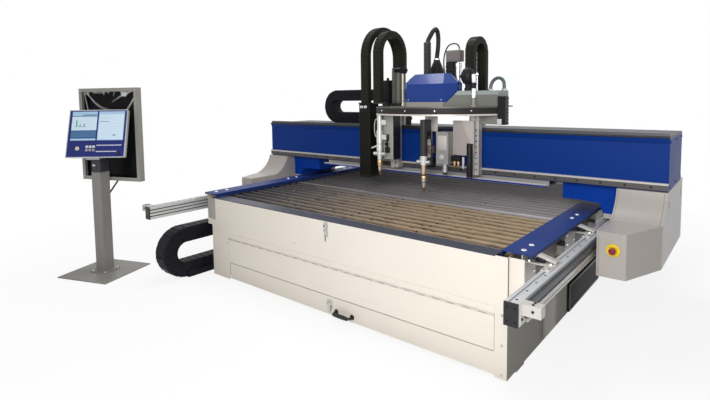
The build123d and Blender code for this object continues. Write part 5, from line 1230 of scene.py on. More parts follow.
@dataclass
class SlatBed:
    """Slats standing on edge, worn along their crests, with slag left on them."""

    rows: int = 27
    first: float = -1.15
    pitch: float = 0.09
    divider: int = 10
    half: float = 1.365
    thick: float = 0.005
    bar: float = 0.02
    low: float = 0.61
    top: float = 0.705
    bar_top: float = 0.709
    cuts: int = 181
    wear: float = 0.0006
    wave_depth: float = 0.0012
    bite_depth: float = 0.011
    bite_from: float = 0.22
    calm: float = 0.3
    seed: int = 11
    zone: tuple[int, int] = (1, 9)
    bits: int = 60
    reach: float = 1.2

    def crest(self, row: int, x: float) -> float:
        """How far the crest of a row is worn down at a place.

        Args:
            row: The row's number.
            x: The place along it.

        Returns:
            The wear in metres.
        """
        heavy = 1.0 if self.zone[0] <= row <= self.zone[1] else self.calm
        wave = noise.noise(Vector((x * 9.0, row * 3.7, 0.5)))
        bite = noise.noise(Vector((x * 31.0, row * 5.1, 7.5)))
        worn = self.wave_depth * max(0.0, wave) + self.bite_depth * max(0.0, bite - self.bite_from)
        return self.wear + heavy * worn

    def build(self) -> None:
        """Builds the slats, the bar between the zones and the slag."""
        shape = Shape()
        for row in range(self.rows):
            y = self.first + self.pitch * row
            width, top = (self.bar, self.bar_top) if row == self.divider else (self.thick, self.top)
            low, high = (-self.half, y - width / 2, self.low), (self.half, y + width / 2, top)
            if row == self.divider:
                shape.block(low, high, 0.0015)
                continue
            ends = shape.cube(low, high)
            long = [e for e in edges_of(ends) if abs(e.verts[0].co.x - e.verts[1].co.x) > self.half]
            bmesh.ops.subdivide_edges(shape.bm, edges=long, cuts=self.cuts, use_grid_fill=True)
            for vert in shape.bm.verts:
                if abs(vert.co.y - y) < self.thick and vert.co.z > self.top - 1e-5:
                    vert.co.z -= self.crest(row, vert.co.x)
        shape.piece("worn_slats", "frame", HeatedSlats(), "slats")
        self.slag()

    def slag(self) -> None:
        """Scatters small lumps of slag along the crests of the cutting zone."""
        draw = random.Random(self.seed)
        shape = Shape()
        for _ in range(self.bits):
            row = draw.randint(*self.zone)
            x = draw.uniform(-self.reach, self.reach)
            y = self.first + self.pitch * row + draw.uniform(-0.004, 0.004)
            size = draw.uniform(0.0025, 0.006)
            seat = Matrix.Translation((x, y, self.top - self.crest(row, x) - size * 0.2))
            squash = Matrix.Diagonal((draw.uniform(1.0, 2.6), draw.uniform(0.8, 1.3), 0.8, 1.0))
            lump = bmesh.ops.create_icosphere(shape.bm, subdivisions=1, radius=size, matrix=seat @ squash)["verts"]
            for vert in lump:
                vert.co += Vector([draw.uniform(-0.3, 0.3) * size for _ in range(3)])
        shape.piece("slag_lumps", "frame", SLAG)


@dataclass
class Table:
    """Screws, plates, stiffeners and louvre on the table."""

    front: float = -1.3
    hinge_face: float = -1.303
    door_face: float = -1.295
    side: float = 1.377
    cover_top: float = 0.745
    stiff_y: Limits = (-0.715, -0.455)
    stiff_z: Limits = (0.03, 0.5)
    duct_y: Limits = (-0.17, 0.63)
    duct_z: Limits = (0.04, 0.2)
    duct_rim: float = 0.022
    blades: int = 6
    blade_tilt: float = math.radians(38.0)
    hinge: Limits = (-1.138, 1.3)
    knuckles: int = 24

    def screws(self) -> None:
        """Builds the screws of the front and the covers."""
        leaf = [-1.08 + 0.19 * k for k in range(13)]
        for name, body, z in (("hinge_screws", "frame", 0.403), ("door_leaf_screws", "door", 0.347)):
            mounts = on_face(AHEAD, self.hinge_face, product(leaf, (z,)))
            Screws(name, body, mounts, 0.0045, 0.002, 10, HINGED).build()
        dots = ((-1.257, 0.643), (-0.724, 0.558), (-0.849, 0.489), (-1.152, 0.339), (-0.308, 0.488))
        Screws("front_screws", "frame", on_face(AHEAD, self.front, dots), 0.0075, 0.003, 12, ZINC).build()
        corner = product((1.346,), (0.036, 0.207, 0.381))
        Screws("corner_bolts", "frame", on_face(AHEAD, self.front, corner), 0.009, 0.005, 6, ZINC).build()
        rows = product((1.43,), (-1.211, -1.094, -0.315, -0.195, 0.581, 0.701))
        Screws("cover_screws", "frame", mirrored(on_face(UPRIGHT, self.cover_top, rows)), 0.016, 0.006, 16).build()

    def sides(self) -> None:
        """Builds the stiffeners of both side walls and the louvre of the right wall."""
        (front, back), (low, high), x = self.stiff_y, self.stiff_z, self.side
        shape = Shape().pair((x, front, low), (x + 0.009, back, high), 0.002)
        for y in self.stiff_y:
            shape.pair((x, y - 0.004, low), (x + 0.014, y + 0.004, high), 0.0015)
        shape.piece("wall_stiffeners", "frame", STIFFENER)
        (front, back), (low, high), x, rim = self.duct_y, self.duct_z, self.side + 0.0003, self.duct_rim
        shape = Shape()
        for near, far in (
            ((front - rim, high), (back + rim, high + rim)), ((front - rim, low - rim), (back + rim, low)),
            ((front - rim, low), (front, high)), ((back, low), (back + rim, high)),
        ):
            shape.block((x, *near), (x + 0.012, *far), 0.0015)
        for k in range(self.blades):
            z = low + (high - low) * (k + 0.5) / self.blades
            tilt = Matrix.Translation((x + 0.004, 0.0, z)) @ Matrix.Rotation(self.blade_tilt, 4, "Y")
            shape.block((-0.01, front, -0.001), (0.01, back, 0.001), matrix=tilt)
        shape.piece("duct_louvre", "frame", BLACK)

    def hardware(self) -> None:
        """Builds the latch plates, the handle's grip and feet, the seams of the front and the painted shadow line
        under the door's fold.
        """
        y = self.front
        Shape().block((0.006, y - 0.002, 0.596), (0.046, y, 0.704), 0.001).heads(
            on_face(AHEAD, y - 0.002, product((0.012, 0.04), (0.602,))), 0.004, 0.003,
        ).piece("catch_plate", "frame", ZINC)
        shape = Shape()
        for low, high in ((0.668, 0.684), (0.64, 0.648)):
            shape.block((0.014, y - 0.0175, low), (0.0255, y - 0.0155, high), 0.0006, 1)
        shape.block((0.016, y - 0.006, 0.56), (0.022, y, 0.6), 0.002).piece("catch_hook", "frame", MAST_GREY)
        shape = Shape()
        left, right = self.hinge
        leaf = (right - left) / self.knuckles
        for k in range(self.knuckles):
            x = left + leaf * k
            shape.block((x + leaf * 0.12, -1.3128, 0.3735), (x + leaf * 0.62, -1.3114, 0.3768), 0.0004, 1)
        shape.piece("hinge_seams", "frame", SEAM_AND_SHADOW)
        # Thin dark strip under the fold of the door: a painted shadow line.
        low, high = (left + 0.006, -1.2942, 0.156), (right - 0.006, -1.2928, 0.1598)
        Shape().block(low, high, 0.0004, 1).piece("door_fold_shadow", "door", SEAM_AND_SHADOW)
        y = self.door_face
        Shape().block((0.022, y, 0.07), (0.07, y + 0.002, 0.136), 0.001).heads(
            on_face(AHEAD, y, product((0.028, 0.064), (0.076, 0.13))), 0.0035, 0.0025,
        ).piece("latch_plate", "door", ZINC)
        shape = Shape()
        for x in (0.109, 0.255):
            shape.drum(facing((x, -1.293, 0.058), AHEAD), 0.02, 0.008, 0.016, 20, 0.001)
        shape.lathe(
            facing((0.114, -1.338, 0.058), RIGHT),
            [(0.008, 0.0), (0.0125, 0.004), (0.0145, 0.03), (0.015, 0.068), (0.0145, 0.106), (0.0125, 0.132),
             (0.008, 0.136), (0.008, 0.0)],
            24,
        ).piece("handle_grip", "door", PLASTIC)

    def build(self) -> None:
        """Builds everything on the table."""
        self.screws()
        self.sides()
        self.hardware()


@dataclass
class Rails:
    """Braces, feet and bolts of the rails' brackets, and the stops at their front ends."""

    BUFFER = ((0.0, 0.0), (0.02, 0.0), (0.02, 0.01), (0.015, 0.018), (0.0, 0.021))

    top: float = 0.686
    foot_top: float = 0.692
    clamp_top: float = 0.711
    rows: tuple[float, ...] = (-1.17, -0.4, 0.37, 1.14)
    brace_from: Limits = (1.446, 0.737)
    brace_to: Limits = (1.598, 0.698)
    brace_half: float = 0.028
    brace_thick: float = 0.012

    def brackets(self) -> None:
        """Builds the slanted braces, the long feet and the dark clamps between them."""
        shape, dark = Shape(), Shape()
        for hand, row in product(HANDS, self.rows):
            start = Vector((hand * self.brace_from[0], 0.0, self.brace_from[1]))
            end = Vector((hand * self.brace_to[0], 0.0, self.brace_to[1]))
            slope = (end - start).normalized()
            out = Vector((-slope.z, 0.0, slope.x)) * hand
            seat = facing(start + Vector((0.0, row, 0.0)), out, slope)
            low = (0.0, -self.brace_half, -self.brace_thick / 2)
            high = ((end - start).length, self.brace_half, self.brace_thick / 2)
            shape.block(low, high, 0.002, 2, seat)
        for row in self.rows:
            shape.pair((1.556, row - 0.15, self.top), (1.602, row - 0.0655, self.foot_top), 0.0015)
            dark.pair((1.492, row - 0.042, self.foot_top), (1.542, row + 0.042, self.clamp_top), 0.004)
        shape.piece("bracket_braces", "frame", BRACKET)
        nuts = on_face(UPRIGHT, self.clamp_top, [(1.517, row - 0.034) for row in self.rows])
        dark.heads(mirrored(nuts), 0.008, 0.005, 6).piece("bracket_clamps", "frame", BLACK)

    def bolts(self) -> None:
        """Builds the bolts of the brackets, the rails' plugs and the screws of their end caps."""
        flat = [(x, y + shift) for y, shift, x in product(self.rows, (-0.045, 0.045), (1.575, 1.462))]
        wall = [(y + shift, z) for y, shift, z in product(self.rows, (-0.075, 0.075), (0.545, 0.6, 0.66))]
        bolts = mirrored(on_face(UPRIGHT, self.foot_top, flat)) + mirrored(on_face(RIGHT, self.brace_from[0], wall))
        Screws("bracket_bolts", "frame", bolts, 0.01, 0.007, 6, ZINC).build()
        plugs = mirrored(on_face(UPRIGHT, self.top, [(1.598, -1.742 + 0.1245 * k) for k in range(29)]))
        holes = [(x, y - 0.115 + shift) for y in self.rows for x, shift in ((1.568, -0.018), (1.59, 0.01))]
        plugs += mirrored(on_face(UPRIGHT, self.foot_top, holes))
        Screws("rail_plugs", "frame", plugs, 0.0065, 0.0015, 10, BLACK).build()
        ends = mirrored(on_face(AHEAD, -1.793, product((1.572, 1.609), (0.6, 0.664))))
        Screws("rail_end_screws", "frame", ends, 0.006, 0.003, 10, BLACK).build()

    def stops(self) -> None:
        """Builds the buffers and bolts of the stops."""
        shape = Shape()
        for hand in HANDS:
            shape.lathe(facing((hand * 1.69, -1.72, 0.66), BACK), self.BUFFER, 20)
        shape.piece("stop_buffers", "frame", RUBBER)
        bolts = mirrored(on_face(RIGHT, 1.63, product((-1.764, -1.728), (0.611,))))
        bolts += mirrored(on_face(UPRIGHT, self.top, product((1.677,), (-1.758, -1.734))))
        bolts += mirrored([((1.68, -1.772, 0.66), AHEAD)])
        Screws("stop_bolts", "frame", bolts, 0.007, 0.005, 6, BLACK).build()

    def build(self) -> None:
        """Builds everything on the rails."""
        self.brackets()
        self.bolts()
        self.stops()


@dataclass
class Gantry:
    """Trim of the beam, the housings and the emergency stop."""

    end: float = 1.959
    nose: float = -0.62
    stop: Vec = (1.753, -0.629, 0.655)
    shelf: float = 0.761
    neck: tuple[Limits, ...] = ((-0.109, 0.945), (-0.157, 0.85), (-0.29, 0.761))
    neck_steps: int = 16
    plates: Limits = (1.67, 1.942)
    plate: float = 0.003
    seam: float = 0.0006
    chute_low: float = 0.487
    fold_half: float = 1.943
    fold_y: float = -0.069
    fold_z: float = 1.268

    def neck_line(self) -> tuple[Limits, float, list[float]]:
        """The round neck of a housing, through its three points.

        Returns:
            Its centre on the side plate, its radius and the angles along it.
        """
        (y1, z1), (y2, z2), (y3, z3) = self.neck
        slope, lift = (y2 - y1, z2 - z1), (y3 - y1, z3 - z1)
        twist = 2 * (slope[0] * lift[1] - slope[1] * lift[0])
        near, far = slope[0] ** 2 + slope[1] ** 2, lift[0] ** 2 + lift[1] ** 2
        cy = y1 + (lift[1] * near - slope[1] * far) / twist
        cz = z1 + (slope[0] * far - lift[0] * near) / twist
        start, end = math.atan2(z1 - cz, y1 - cy), math.atan2(z3 - cz, y3 - cy)
        if abs(end - start) > math.pi:
            end += math.copysign(2 * math.pi, start - end)
        angles = [start + (end - start) * k / self.neck_steps for k in range(self.neck_steps + 1)]
        return (cy, cz), math.hypot(y1 - cy, z1 - cz), angles

    def seams(self) -> None:
        """Builds the seams of the housings' side plates and the painted shadow line under the beam's fold."""
        (cy, cz), radius, angles = self.neck_line()
        shape = Shape()
        for hand, x in product(HANDS, self.plates):
            ring = [
                (hand * x, cy + reach * math.cos(angle), cz + reach * math.sin(angle))
                for reach, run in ((radius - self.seam, angles), (radius + self.seam, angles[::-1])) for angle in run
            ]
            shape.plate(ring, (hand * self.plate, 0.0, 0.0))
        near, far = self.plates[0], self.plates[0] + self.plate
        nose, shelf, seam = self.nose, self.shelf, self.seam
        shape.pair((near, nose - seam, self.chute_low), (far, nose + seam, shelf - 0.003))
        shape.pair((near, nose + 0.004, shelf - seam), (far, self.neck[-1][0], shelf + seam))
        shape.piece("housing_seams", "gantry", SEAM_AND_SHADOW)
        # Thin dark strip under the beam's fold: a painted shadow line.
        half, y, z = self.fold_half, self.fold_y, self.fold_z
        Shape().block((-half, y - seam, z - 0.004), (half, y + seam, z)).piece("beam_fold_shadow_line", "gantry", FOLD_SHADOW_BLUE)

    def build(self) -> None:
        """Builds the trim."""
        self.seams()
        caps = mirrored(on_face(RIGHT, self.end, product((-0.045, 0.24, 0.525), (0.975, 1.275))))
        Screws("beam_cap_screws", "gantry", caps, 0.009, 0.004, 10, BEAM_BLUE).build()
        rows = on_face(AHEAD, -0.088, [(-1.86 + 0.155 * k, 0.971) for k in range(25)])
        Screws("guide_bolts", "gantry", rows, 0.0075, 0.004, 10, BLACK).build()
        lids = mirrored(on_face(AHEAD, self.nose, product((1.676, 1.807), (0.496, 0.745))))
        lids += mirrored(on_face(RIGHT, self.end, product((-0.235, 0.225, 0.668), (0.5, 0.74))))
        Screws("housing_screws", "gantry", lids, 0.0065, 0.003, 12, ZINC).build()
        shape = Shape()
        for y in (-0.039, 0.571):
            shape.pair((1.957, y + 0.002, 0.826), (1.958, y + 0.032, 0.874), 0.0003, 1)
        shape.piece("vent_inserts", "gantry", PLASTIC)
        Shape().lathe(
            facing(self.stop, AHEAD),
            [(0.0122, 0.0), (0.0315, 0.0), (0.0315, 0.0012), (0.028, 0.0026), (0.024, 0.0026), (0.0225, 0.0012),
             (0.0122, 0.0012), (0.0122, 0.0)],
            36,
        ).piece("stop_ring", "gantry", YELLOW)


@dataclass
class Carriage:
    """Drives, cylinders, valves, glands and fasteners that the station plate carries."""

    deck: float = 1.51
    box_top: float = 1.635
    mast: Vec = (-0.245, 0.03)
    pipe: Vec = (-0.143, -0.055)
    cone: Vec = (0.127, 0.096)
    cone_top: float = 1.92
    servo: Vec = (0.293, -0.04)
    servo_top: float = 1.887
    cylinder: Vec = (0.397, -0.007)
    piston: Vec = (0.66, -0.255)
    valve: Vec = (0.59, -0.215)
    rod: Vec = (0.652, -0.18)
    conduit: Vec = (0.11, -0.04)
    relief: tuple[Vec, ...] = ((0.663, 0.051), (0.777, 0.061))
    skirt: Vec = (0.148, 0.292)
    skirt_radius: float = 0.771
    cap_top: float = 1.587

    def drives(self) -> None:
        """Builds the mast, the motors and the servo that stand for the plain drives."""
        Shape().lathe(
            upright(self.mast, self.deck),
            [(0.0, 0.0), (0.066, 0.0), (0.066, 0.03), (0.063, 0.033), (0.063, 0.036), (0.066, 0.039),
             (0.066, 0.33), (0.062, 0.333), (0.062, 0.338), (0.066, 0.341), (0.066, 0.351), (0.063, 0.354),
             (0.0, 0.354)],
            40,
        ).piece("mast_drum", "carriage", MAST_GREY, "lift_drives")
        x, y = self.mast
        shape = Shape().drum(upright(self.mast, self.deck), 0.078, 0.026, steps=36, edge=0.002)
        shape.block((x + 0.005, y - 0.094, 1.822), (x + 0.138, y - 0.052, 1.85), 0.006)
        shape.block((x + 0.086, y - 0.104, 1.806), (x + 0.126, y - 0.046, 1.87), 0.006)
        shape.drum(facing((x + 0.03, y - 0.094, 1.838), AHEAD), 0.013, 0.012, steps=6)
        shape.drum(facing((x + 0.064, y - 0.094, 1.842), AHEAD), 0.01, 0.016, steps=14)
        shape.piece("mast_clamp", "carriage", BLACK)
        Shape().lathe(
            upright(self.pipe, self.deck),
            [(0.0, 0.0), (0.014, 0.0), (0.014, 0.018), (0.01, 0.022), (0.01, 0.29), (0.013, 0.293),
             (0.013, 0.312), (0.0, 0.312)],
            18,
        ).piece("mast_pipe", "carriage", PIPE)
        Shape().lathe(
            upright(self.cone, self.deck),
            [(0.0, 0.0), (0.08, 0.0), (0.08, 0.04), (0.076, 0.044), (0.076, 0.06), (0.08, 0.064),
             (0.08, 0.27), (0.077, 0.284), (0.07, 0.3), (0.05, 0.352), (0.034, 0.392), (0.03, 0.396),
             (0.03, 0.41), (0.0, 0.41)],
            40,
        ).piece("cone_motor", "carriage", BLACK)
        shape = Shape().block((-0.412, -0.012, self.deck), (-0.32, 0.055, 1.752), 0.003)
        shape.block((-0.409, -0.022, 1.528), (-0.323, -0.012, 1.746), 0.003)
        shape.heads(on_face(AHEAD, -0.022, product((-0.402,), (1.545, 1.729))), 0.004, 0.003)
        shape.drum(upright((-0.366, 0.022), 1.752), 0.014, 0.024, 0.011, 18, 0.001)
        shape.piece("junction_box", "carriage", BLACK)
        x, y = self.servo
        shape = Shape().block((x, y, self.deck), (x + 0.07, y + 0.08, self.servo_top), 0.004)
        for k in range(9):
            low = self.deck + 0.06 + 0.034 * k
            shape.block((x - 0.002, y - 0.0015, low), (x + 0.072, y + 0.0815, low + 0.012), 0.002, 1)
        shape.piece("servo_body", "carriage", BLACK)
        shape = Shape().block((x, y, self.servo_top), (x + 0.134, y + 0.08, 1.985), 0.006, 3)
        shape.block((x + 0.007, y - 0.0025, 1.9), (x + 0.127, y, 1.972), 0.001, 1)
        shape.heads(on_face(AHEAD, y - 0.0025, product((x + 0.013, x + 0.121), (1.906, 1.966))), 0.004, 0.003)
        shape.piece("servo_head", "carriage", HEAD_GREY)

    def cylinders(self) -> None:
        """Builds the chrome cylinders, the dark valve and the rod beside it."""
        Shape().lathe(
            upright(self.cylinder, self.deck),
            [(0.0, 0.0), (0.029, 0.0), (0.029, 0.03), (0.026, 0.032), (0.026, 0.325), (0.029, 0.327),
             (0.029, 0.364), (0.026, 0.367), (0.0, 0.367)],
            32,
        ).lathe(
            upright(self.piston, self.deck),
            [(0.0, 0.07), (0.018, 0.07), (0.018, 0.142), (0.017, 0.144), (0.017, 0.186), (0.0175, 0.188),
             (0.0175, 0.25), (0.015, 0.255), (0.0, 0.255)],
            28,
        ).lathe(
            upright(self.rod, self.box_top),
            [(0.0, 0.0), (0.006, 0.0), (0.006, 0.118), (0.011, 0.122), (0.011, 0.136), (0.007, 0.14), (0.0, 0.14)],
            18,
        ).piece("chrome_cylinders", "carriage", CHROME)
        Shape().lathe(
            upright(self.piston, self.deck),
            [(0.0, 0.0), (0.024, 0.0), (0.024, 0.01), (0.014, 0.014), (0.014, 0.071), (0.0, 0.071)], 24,
        ).piece("piston_stand", "carriage", STIFFENER)
        x, y = self.valve
        Shape().lathe(
            upright(self.piston, self.deck + 0.142),
            [(0.0175, 0.0), (0.02, 0.002), (0.02, 0.044), (0.0175, 0.046), (0.0175, 0.0)], 24,
        ).lathe(
            upright(self.valve, self.box_top),
            [(0.0, 0.0), (0.028, 0.0), (0.028, 0.02), (0.02, 0.026), (0.02, 0.05), (0.038, 0.062),
             (0.051, 0.088), (0.053, 0.116), (0.051, 0.142), (0.04, 0.168), (0.018, 0.184), (0.018, 0.195),
             (0.0, 0.195)],
            28,
        ).drum(facing((x - 0.05, y, 1.752), LEFT), 0.014, 0.016, steps=6).piece("valve_bodies", "carriage", BLACK)
        shape = Shape().drum(upright(self.cone, self.cone_top), 0.028, 0.015, steps=6, edge=0.001)
        shape.drum(upright((0.402, 0.0), 1.985), 0.011, 0.006, steps=6, edge=0.001)
        shape.drum(facing((self.servo[0], 0.005, 1.76), LEFT), 0.011, 0.008, steps=6, edge=0.001)
        for place in self.relief:
            shape.drum(upright(place, self.box_top), 0.021, 0.014, steps=6, edge=0.001)
        shape.drum(upright(self.conduit, self.deck), 0.044, 0.022, steps=8, edge=0.002)
        shape.piece("gland_nuts", "carriage", ZINC)

    def trim(self) -> None:
        """Builds the rivets of the skirt, the cover and the box, and the traverse motor's trim."""
        rivets: list[Mount] = []
        for angle in map(math.radians, (-109.0, -89.0, -70.0, -48.75)):
            away = Vector((math.cos(angle), math.sin(angle), 0.0))
            rivets.append((Vector((*self.skirt, 1.478)) + away * self.skirt_radius, away))
        Screws("skirt_rivets", "carriage", rivets).build()
        cover = on_face(AHEAD, -0.37, product((0.125, 0.435), (1.566,)))
        Screws("cover_rivets", "carriage", cover, 0.006, 0.003, 12, ZINC).build()
        lid = on_face(UPRIGHT, self.box_top, product((0.5, 0.786), (0.07, -0.1)))
        lid += on_face(AHEAD, -0.115, product((0.7, 0.785), (1.575,)))
        Screws("box_screws", "carriage", lid, sides=12, finish=ZINC).build()
        shape = Shape().block((0.806, -0.146, 1.366), (0.842, -0.13, 1.41), 0.003)
        shape.drum(facing((0.824, -0.138, 1.366), DOWN), 0.007, 0.012, steps=12)
        shape.piece("motor_connector", "carriage", KEYCAP)
        shape = Shape().block((0.805, -0.128, 1.579), (0.865, -0.062, self.cap_top), 0.002)
        for place in product((0.812, 0.858), (-0.121, -0.069)):
            shape.drum(upright(place, self.cap_top), 0.005, 0.004, steps=6)
        shape.piece("motor_cap", "carriage", BLACK)

    def build(self) -> None:
        """Builds everything on the carriage."""
        self.drives()
        self.cylinders()
        self.trim()


@dataclass
class Tools:
    """Turned details of the torches, the column's fittings and the marking unit's trim."""

    GLAND = ((0.0, 0.0), (0.014, 0.0), (0.014, 0.012), (0.01, 0.014), (0.01, 0.024), (0.0, 0.026))
    NOZZLE = ((0.0, 0.0), (0.006, 0.0), (0.01, 0.012), (0.01, 0.034), (0.013, 0.036), (0.013, 0.06), (0.0, 0.06))

    left: Vec = (-0.207, -0.33)
    centre: Vec = (0.243, -0.32)
    jaw: float = 0.04
    lifter_face: float = -0.2985
    plate_face: float = -0.1983
    unit_face: float = -0.2803
    slide_face: float = -0.2485

    def clamp(self, shape: Shape, place: Vec, z: float) -> None:
        """Adds the two jaws of a torch's clamp.

        Args:
            shape: The shape that they go into.
            place: The torch's axis.
            z: Their height.
        """
        mounts = [((place[0] + hand * self.jaw, place[1], z), (hand, 0.0, 0.0)) for hand in HANDS]
        shape.heads(mounts, 0.021, 0.014, 8, 0.002)

    def left_torch(self) -> None:
        """Builds the sleeve, clamp, lever and nozzle nut of the left torch."""
        x, y = self.left
        shape = Shape().lathe(
            upright(self.left, 1.115),
            [(0.0245, 0.0), (0.03, 0.002), (0.03, 0.06), (0.027, 0.063), (0.027, 0.069), (0.03, 0.072),
             (0.03, 0.183), (0.0245, 0.185), (0.0245, 0.0)],
            28,
        )
        self.clamp(shape, self.left, 1.087)
        shape.lathe(
            facing((x - 0.024, y, 1.158), (-0.94, 0.0, -0.33)),
            [(0.0, 0.0), (0.01, 0.0), (0.01, 0.066), (0.008, 0.072), (0.0, 0.075)], 14,
        ).piece("left_torch_collars", "left_tool", SILVER)
        Shape().lathe(
            upright(self.left, 0.985),
            [(0.0172, 0.0), (0.0222, 0.004), (0.0222, 0.02), (0.0195, 0.024), (0.0222, 0.028), (0.0222, 0.04),
             (0.0215, 0.042), (0.0215, 0.0), (0.0172, 0.0)],
            24,
        ).piece("left_nozzle_nut", "left_tool", BRASS)
        face = self.lifter_face
        shape = Shape().block((-0.172, -0.312, 1.205), (-0.128, face, 1.262), 0.003)
        shape.block((-0.166, -0.31, 1.098), (-0.118, face, 1.15), 0.003).lathe(
            facing((-0.146, -0.308, 1.178), AHEAD),
            [(0.0, 0.0), (0.019, 0.0), (0.019, 0.006), (0.014, 0.01), (0.0, 0.011)], 18,
        ).block((-0.151, -0.31, 1.15), (-0.139, face, 1.205), 0.002).piece("lifter_valves", "left_tool", BLACK)

    def centre_torch(self) -> None:
        """Builds the clamp, nozzle nut, sensor and bracket of the centre torch."""
        shape = Shape()
        self.clamp(shape, self.centre, 1.044)
        shape.lathe(
            upright(self.centre, 1.067),
            [(0.0305, 0.0), (0.0335, 0.002), (0.0335, 0.022), (0.0305, 0.024), (0.0305, 0.0)], 28,
        ).piece("centre_torch_clamp", "centre_tool", SILVER)
        Shape().lathe(
            upright(self.centre, 0.905),
            [(0.0205, 0.0), (0.0225, 0.002), (0.0225, 0.02), (0.0205, 0.024), (0.0225, 0.028), (0.0225, 0.044),
             (0.0205, 0.046), (0.0205, 0.0)],
            24,
        ).piece("centre_nozzle_nut", "centre_tool", BRASS)
        shape = Shape().block((0.262, -0.3, 1.119), (0.312, -0.25, 1.184), 0.004)
        shape.drum(facing((0.29, -0.3, 1.15), AHEAD), 0.01, 0.005, steps=16, edge=0.001)
        shape.piece("height_sensor", "centre_tool", BROWN)
        shape = Shape().block((0.262, -0.305, 1.0), (0.318, -0.25, 1.08), 0.005)
        shape.block((0.283, -0.31, 1.012), (0.312, -0.305, 1.04), 0.002)
        shape.piece("sensor_bracket", "centre_tool", BLACK)
        face = self.slide_face
        shape = Shape().block((0.276, face, 1.3), (0.332, face + 0.008, 1.448), 0.002)
        shape.heads(on_face(AHEAD, face, product((0.32,), (1.325, 1.42))), 0.006, 0.003)
        shape.piece("centre_slide_face", "carriage", MILLED)

    def column(self) -> None:
        """Builds the fittings at the head of the black column and its bands."""
        shape = Shape()
        for x in (-0.395, -0.352):
            shape.lathe(facing((x, -0.34, 1.505), AHEAD), self.GLAND, 14)
        shape.piece("column_glands", "column", SILVER)
        shape = Shape().block((-0.4285, -0.344, 0.868), (-0.3055, -0.196, 0.884), 0.003)
        shape.block((-0.427, -0.3425, 1.465), (-0.307, -0.1975, 1.481), 0.003)
        shape.piece("column_bands", "column", BLACK)

    def marker(self) -> None:
        """Builds the gusset, sleeve, nozzles, screws and lid of the marking unit."""
        face, unit = self.plate_face, self.unit_face
        gusset = [(x, face, z) for x, z in ((0.528, 1.393), (0.64, 1.393), (0.64, 1.21), (0.61, 1.21))]
        Shape().plate(gusset, (0.0, -0.008, 0.0)).piece("marker_gusset", "marker", PINK_GREY)
        shape = Shape().lathe(
            upright((0.608, -0.214), 0.945),
            [(0.0222, 0.0), (0.0245, 0.002), (0.0245, 0.262), (0.0222, 0.266), (0.0222, 0.0)], 24,
        )
        shape.block((0.44, face - 0.036, 1.06), (0.53, face, 1.1), 0.004)
        shape.piece("probe_sleeve", "marker", BLACK)
        shape = Shape()
        for x in (0.475, 0.51):
            shape.lathe(upright((x, face - 0.018), 1.0), self.NOZZLE, 16)
        shape.piece("spray_nozzles", "marker", BRASS)
        Shape().lathe(
            upright((0.549, face - 0.01), 1.003),
            [(0.0, 0.0), (0.008, 0.0), (0.008, 0.03), (0.01, 0.033), (0.01, 0.088), (0.008, 0.094), (0.0, 0.094)],
            16,
        ).piece("marker_rod", "marker", KEYCAP)
        screws = on_face(AHEAD, face, product((0.466, 0.56), (1.125, 1.377)))
        screws += on_face(AHEAD, unit, product((0.348, 0.44), (1.047, 1.288)))
        Screws("marker_screws", "marker", screws, 0.006, 0.003, 10, ZINC).build()
        shape = Shape().block((0.352, unit - 0.002, 1.15), (0.436, unit, 1.272), 0.001)
        shape.drum(facing((0.394, unit, 1.092), AHEAD), 0.022, 0.01, steps=20, edge=0.001)
        shape.piece("marker_lid", "marker", MILLED)
        Shape().lathe(
            upright((0.394, -0.23), 0.96),
            [(0.0185, 0.0), (0.024, 0.003), (0.024, 0.03), (0.021, 0.034), (0.021, 0.07), (0.0185, 0.072),
             (0.0185, 0.0)],
            22,
        ).piece("spindle_nuts", "marker", ZINC)

    def build(self) -> None:
        """Builds the tools' details."""
        self.left_torch()
        self.centre_torch()
        self.column()
        self.marker()


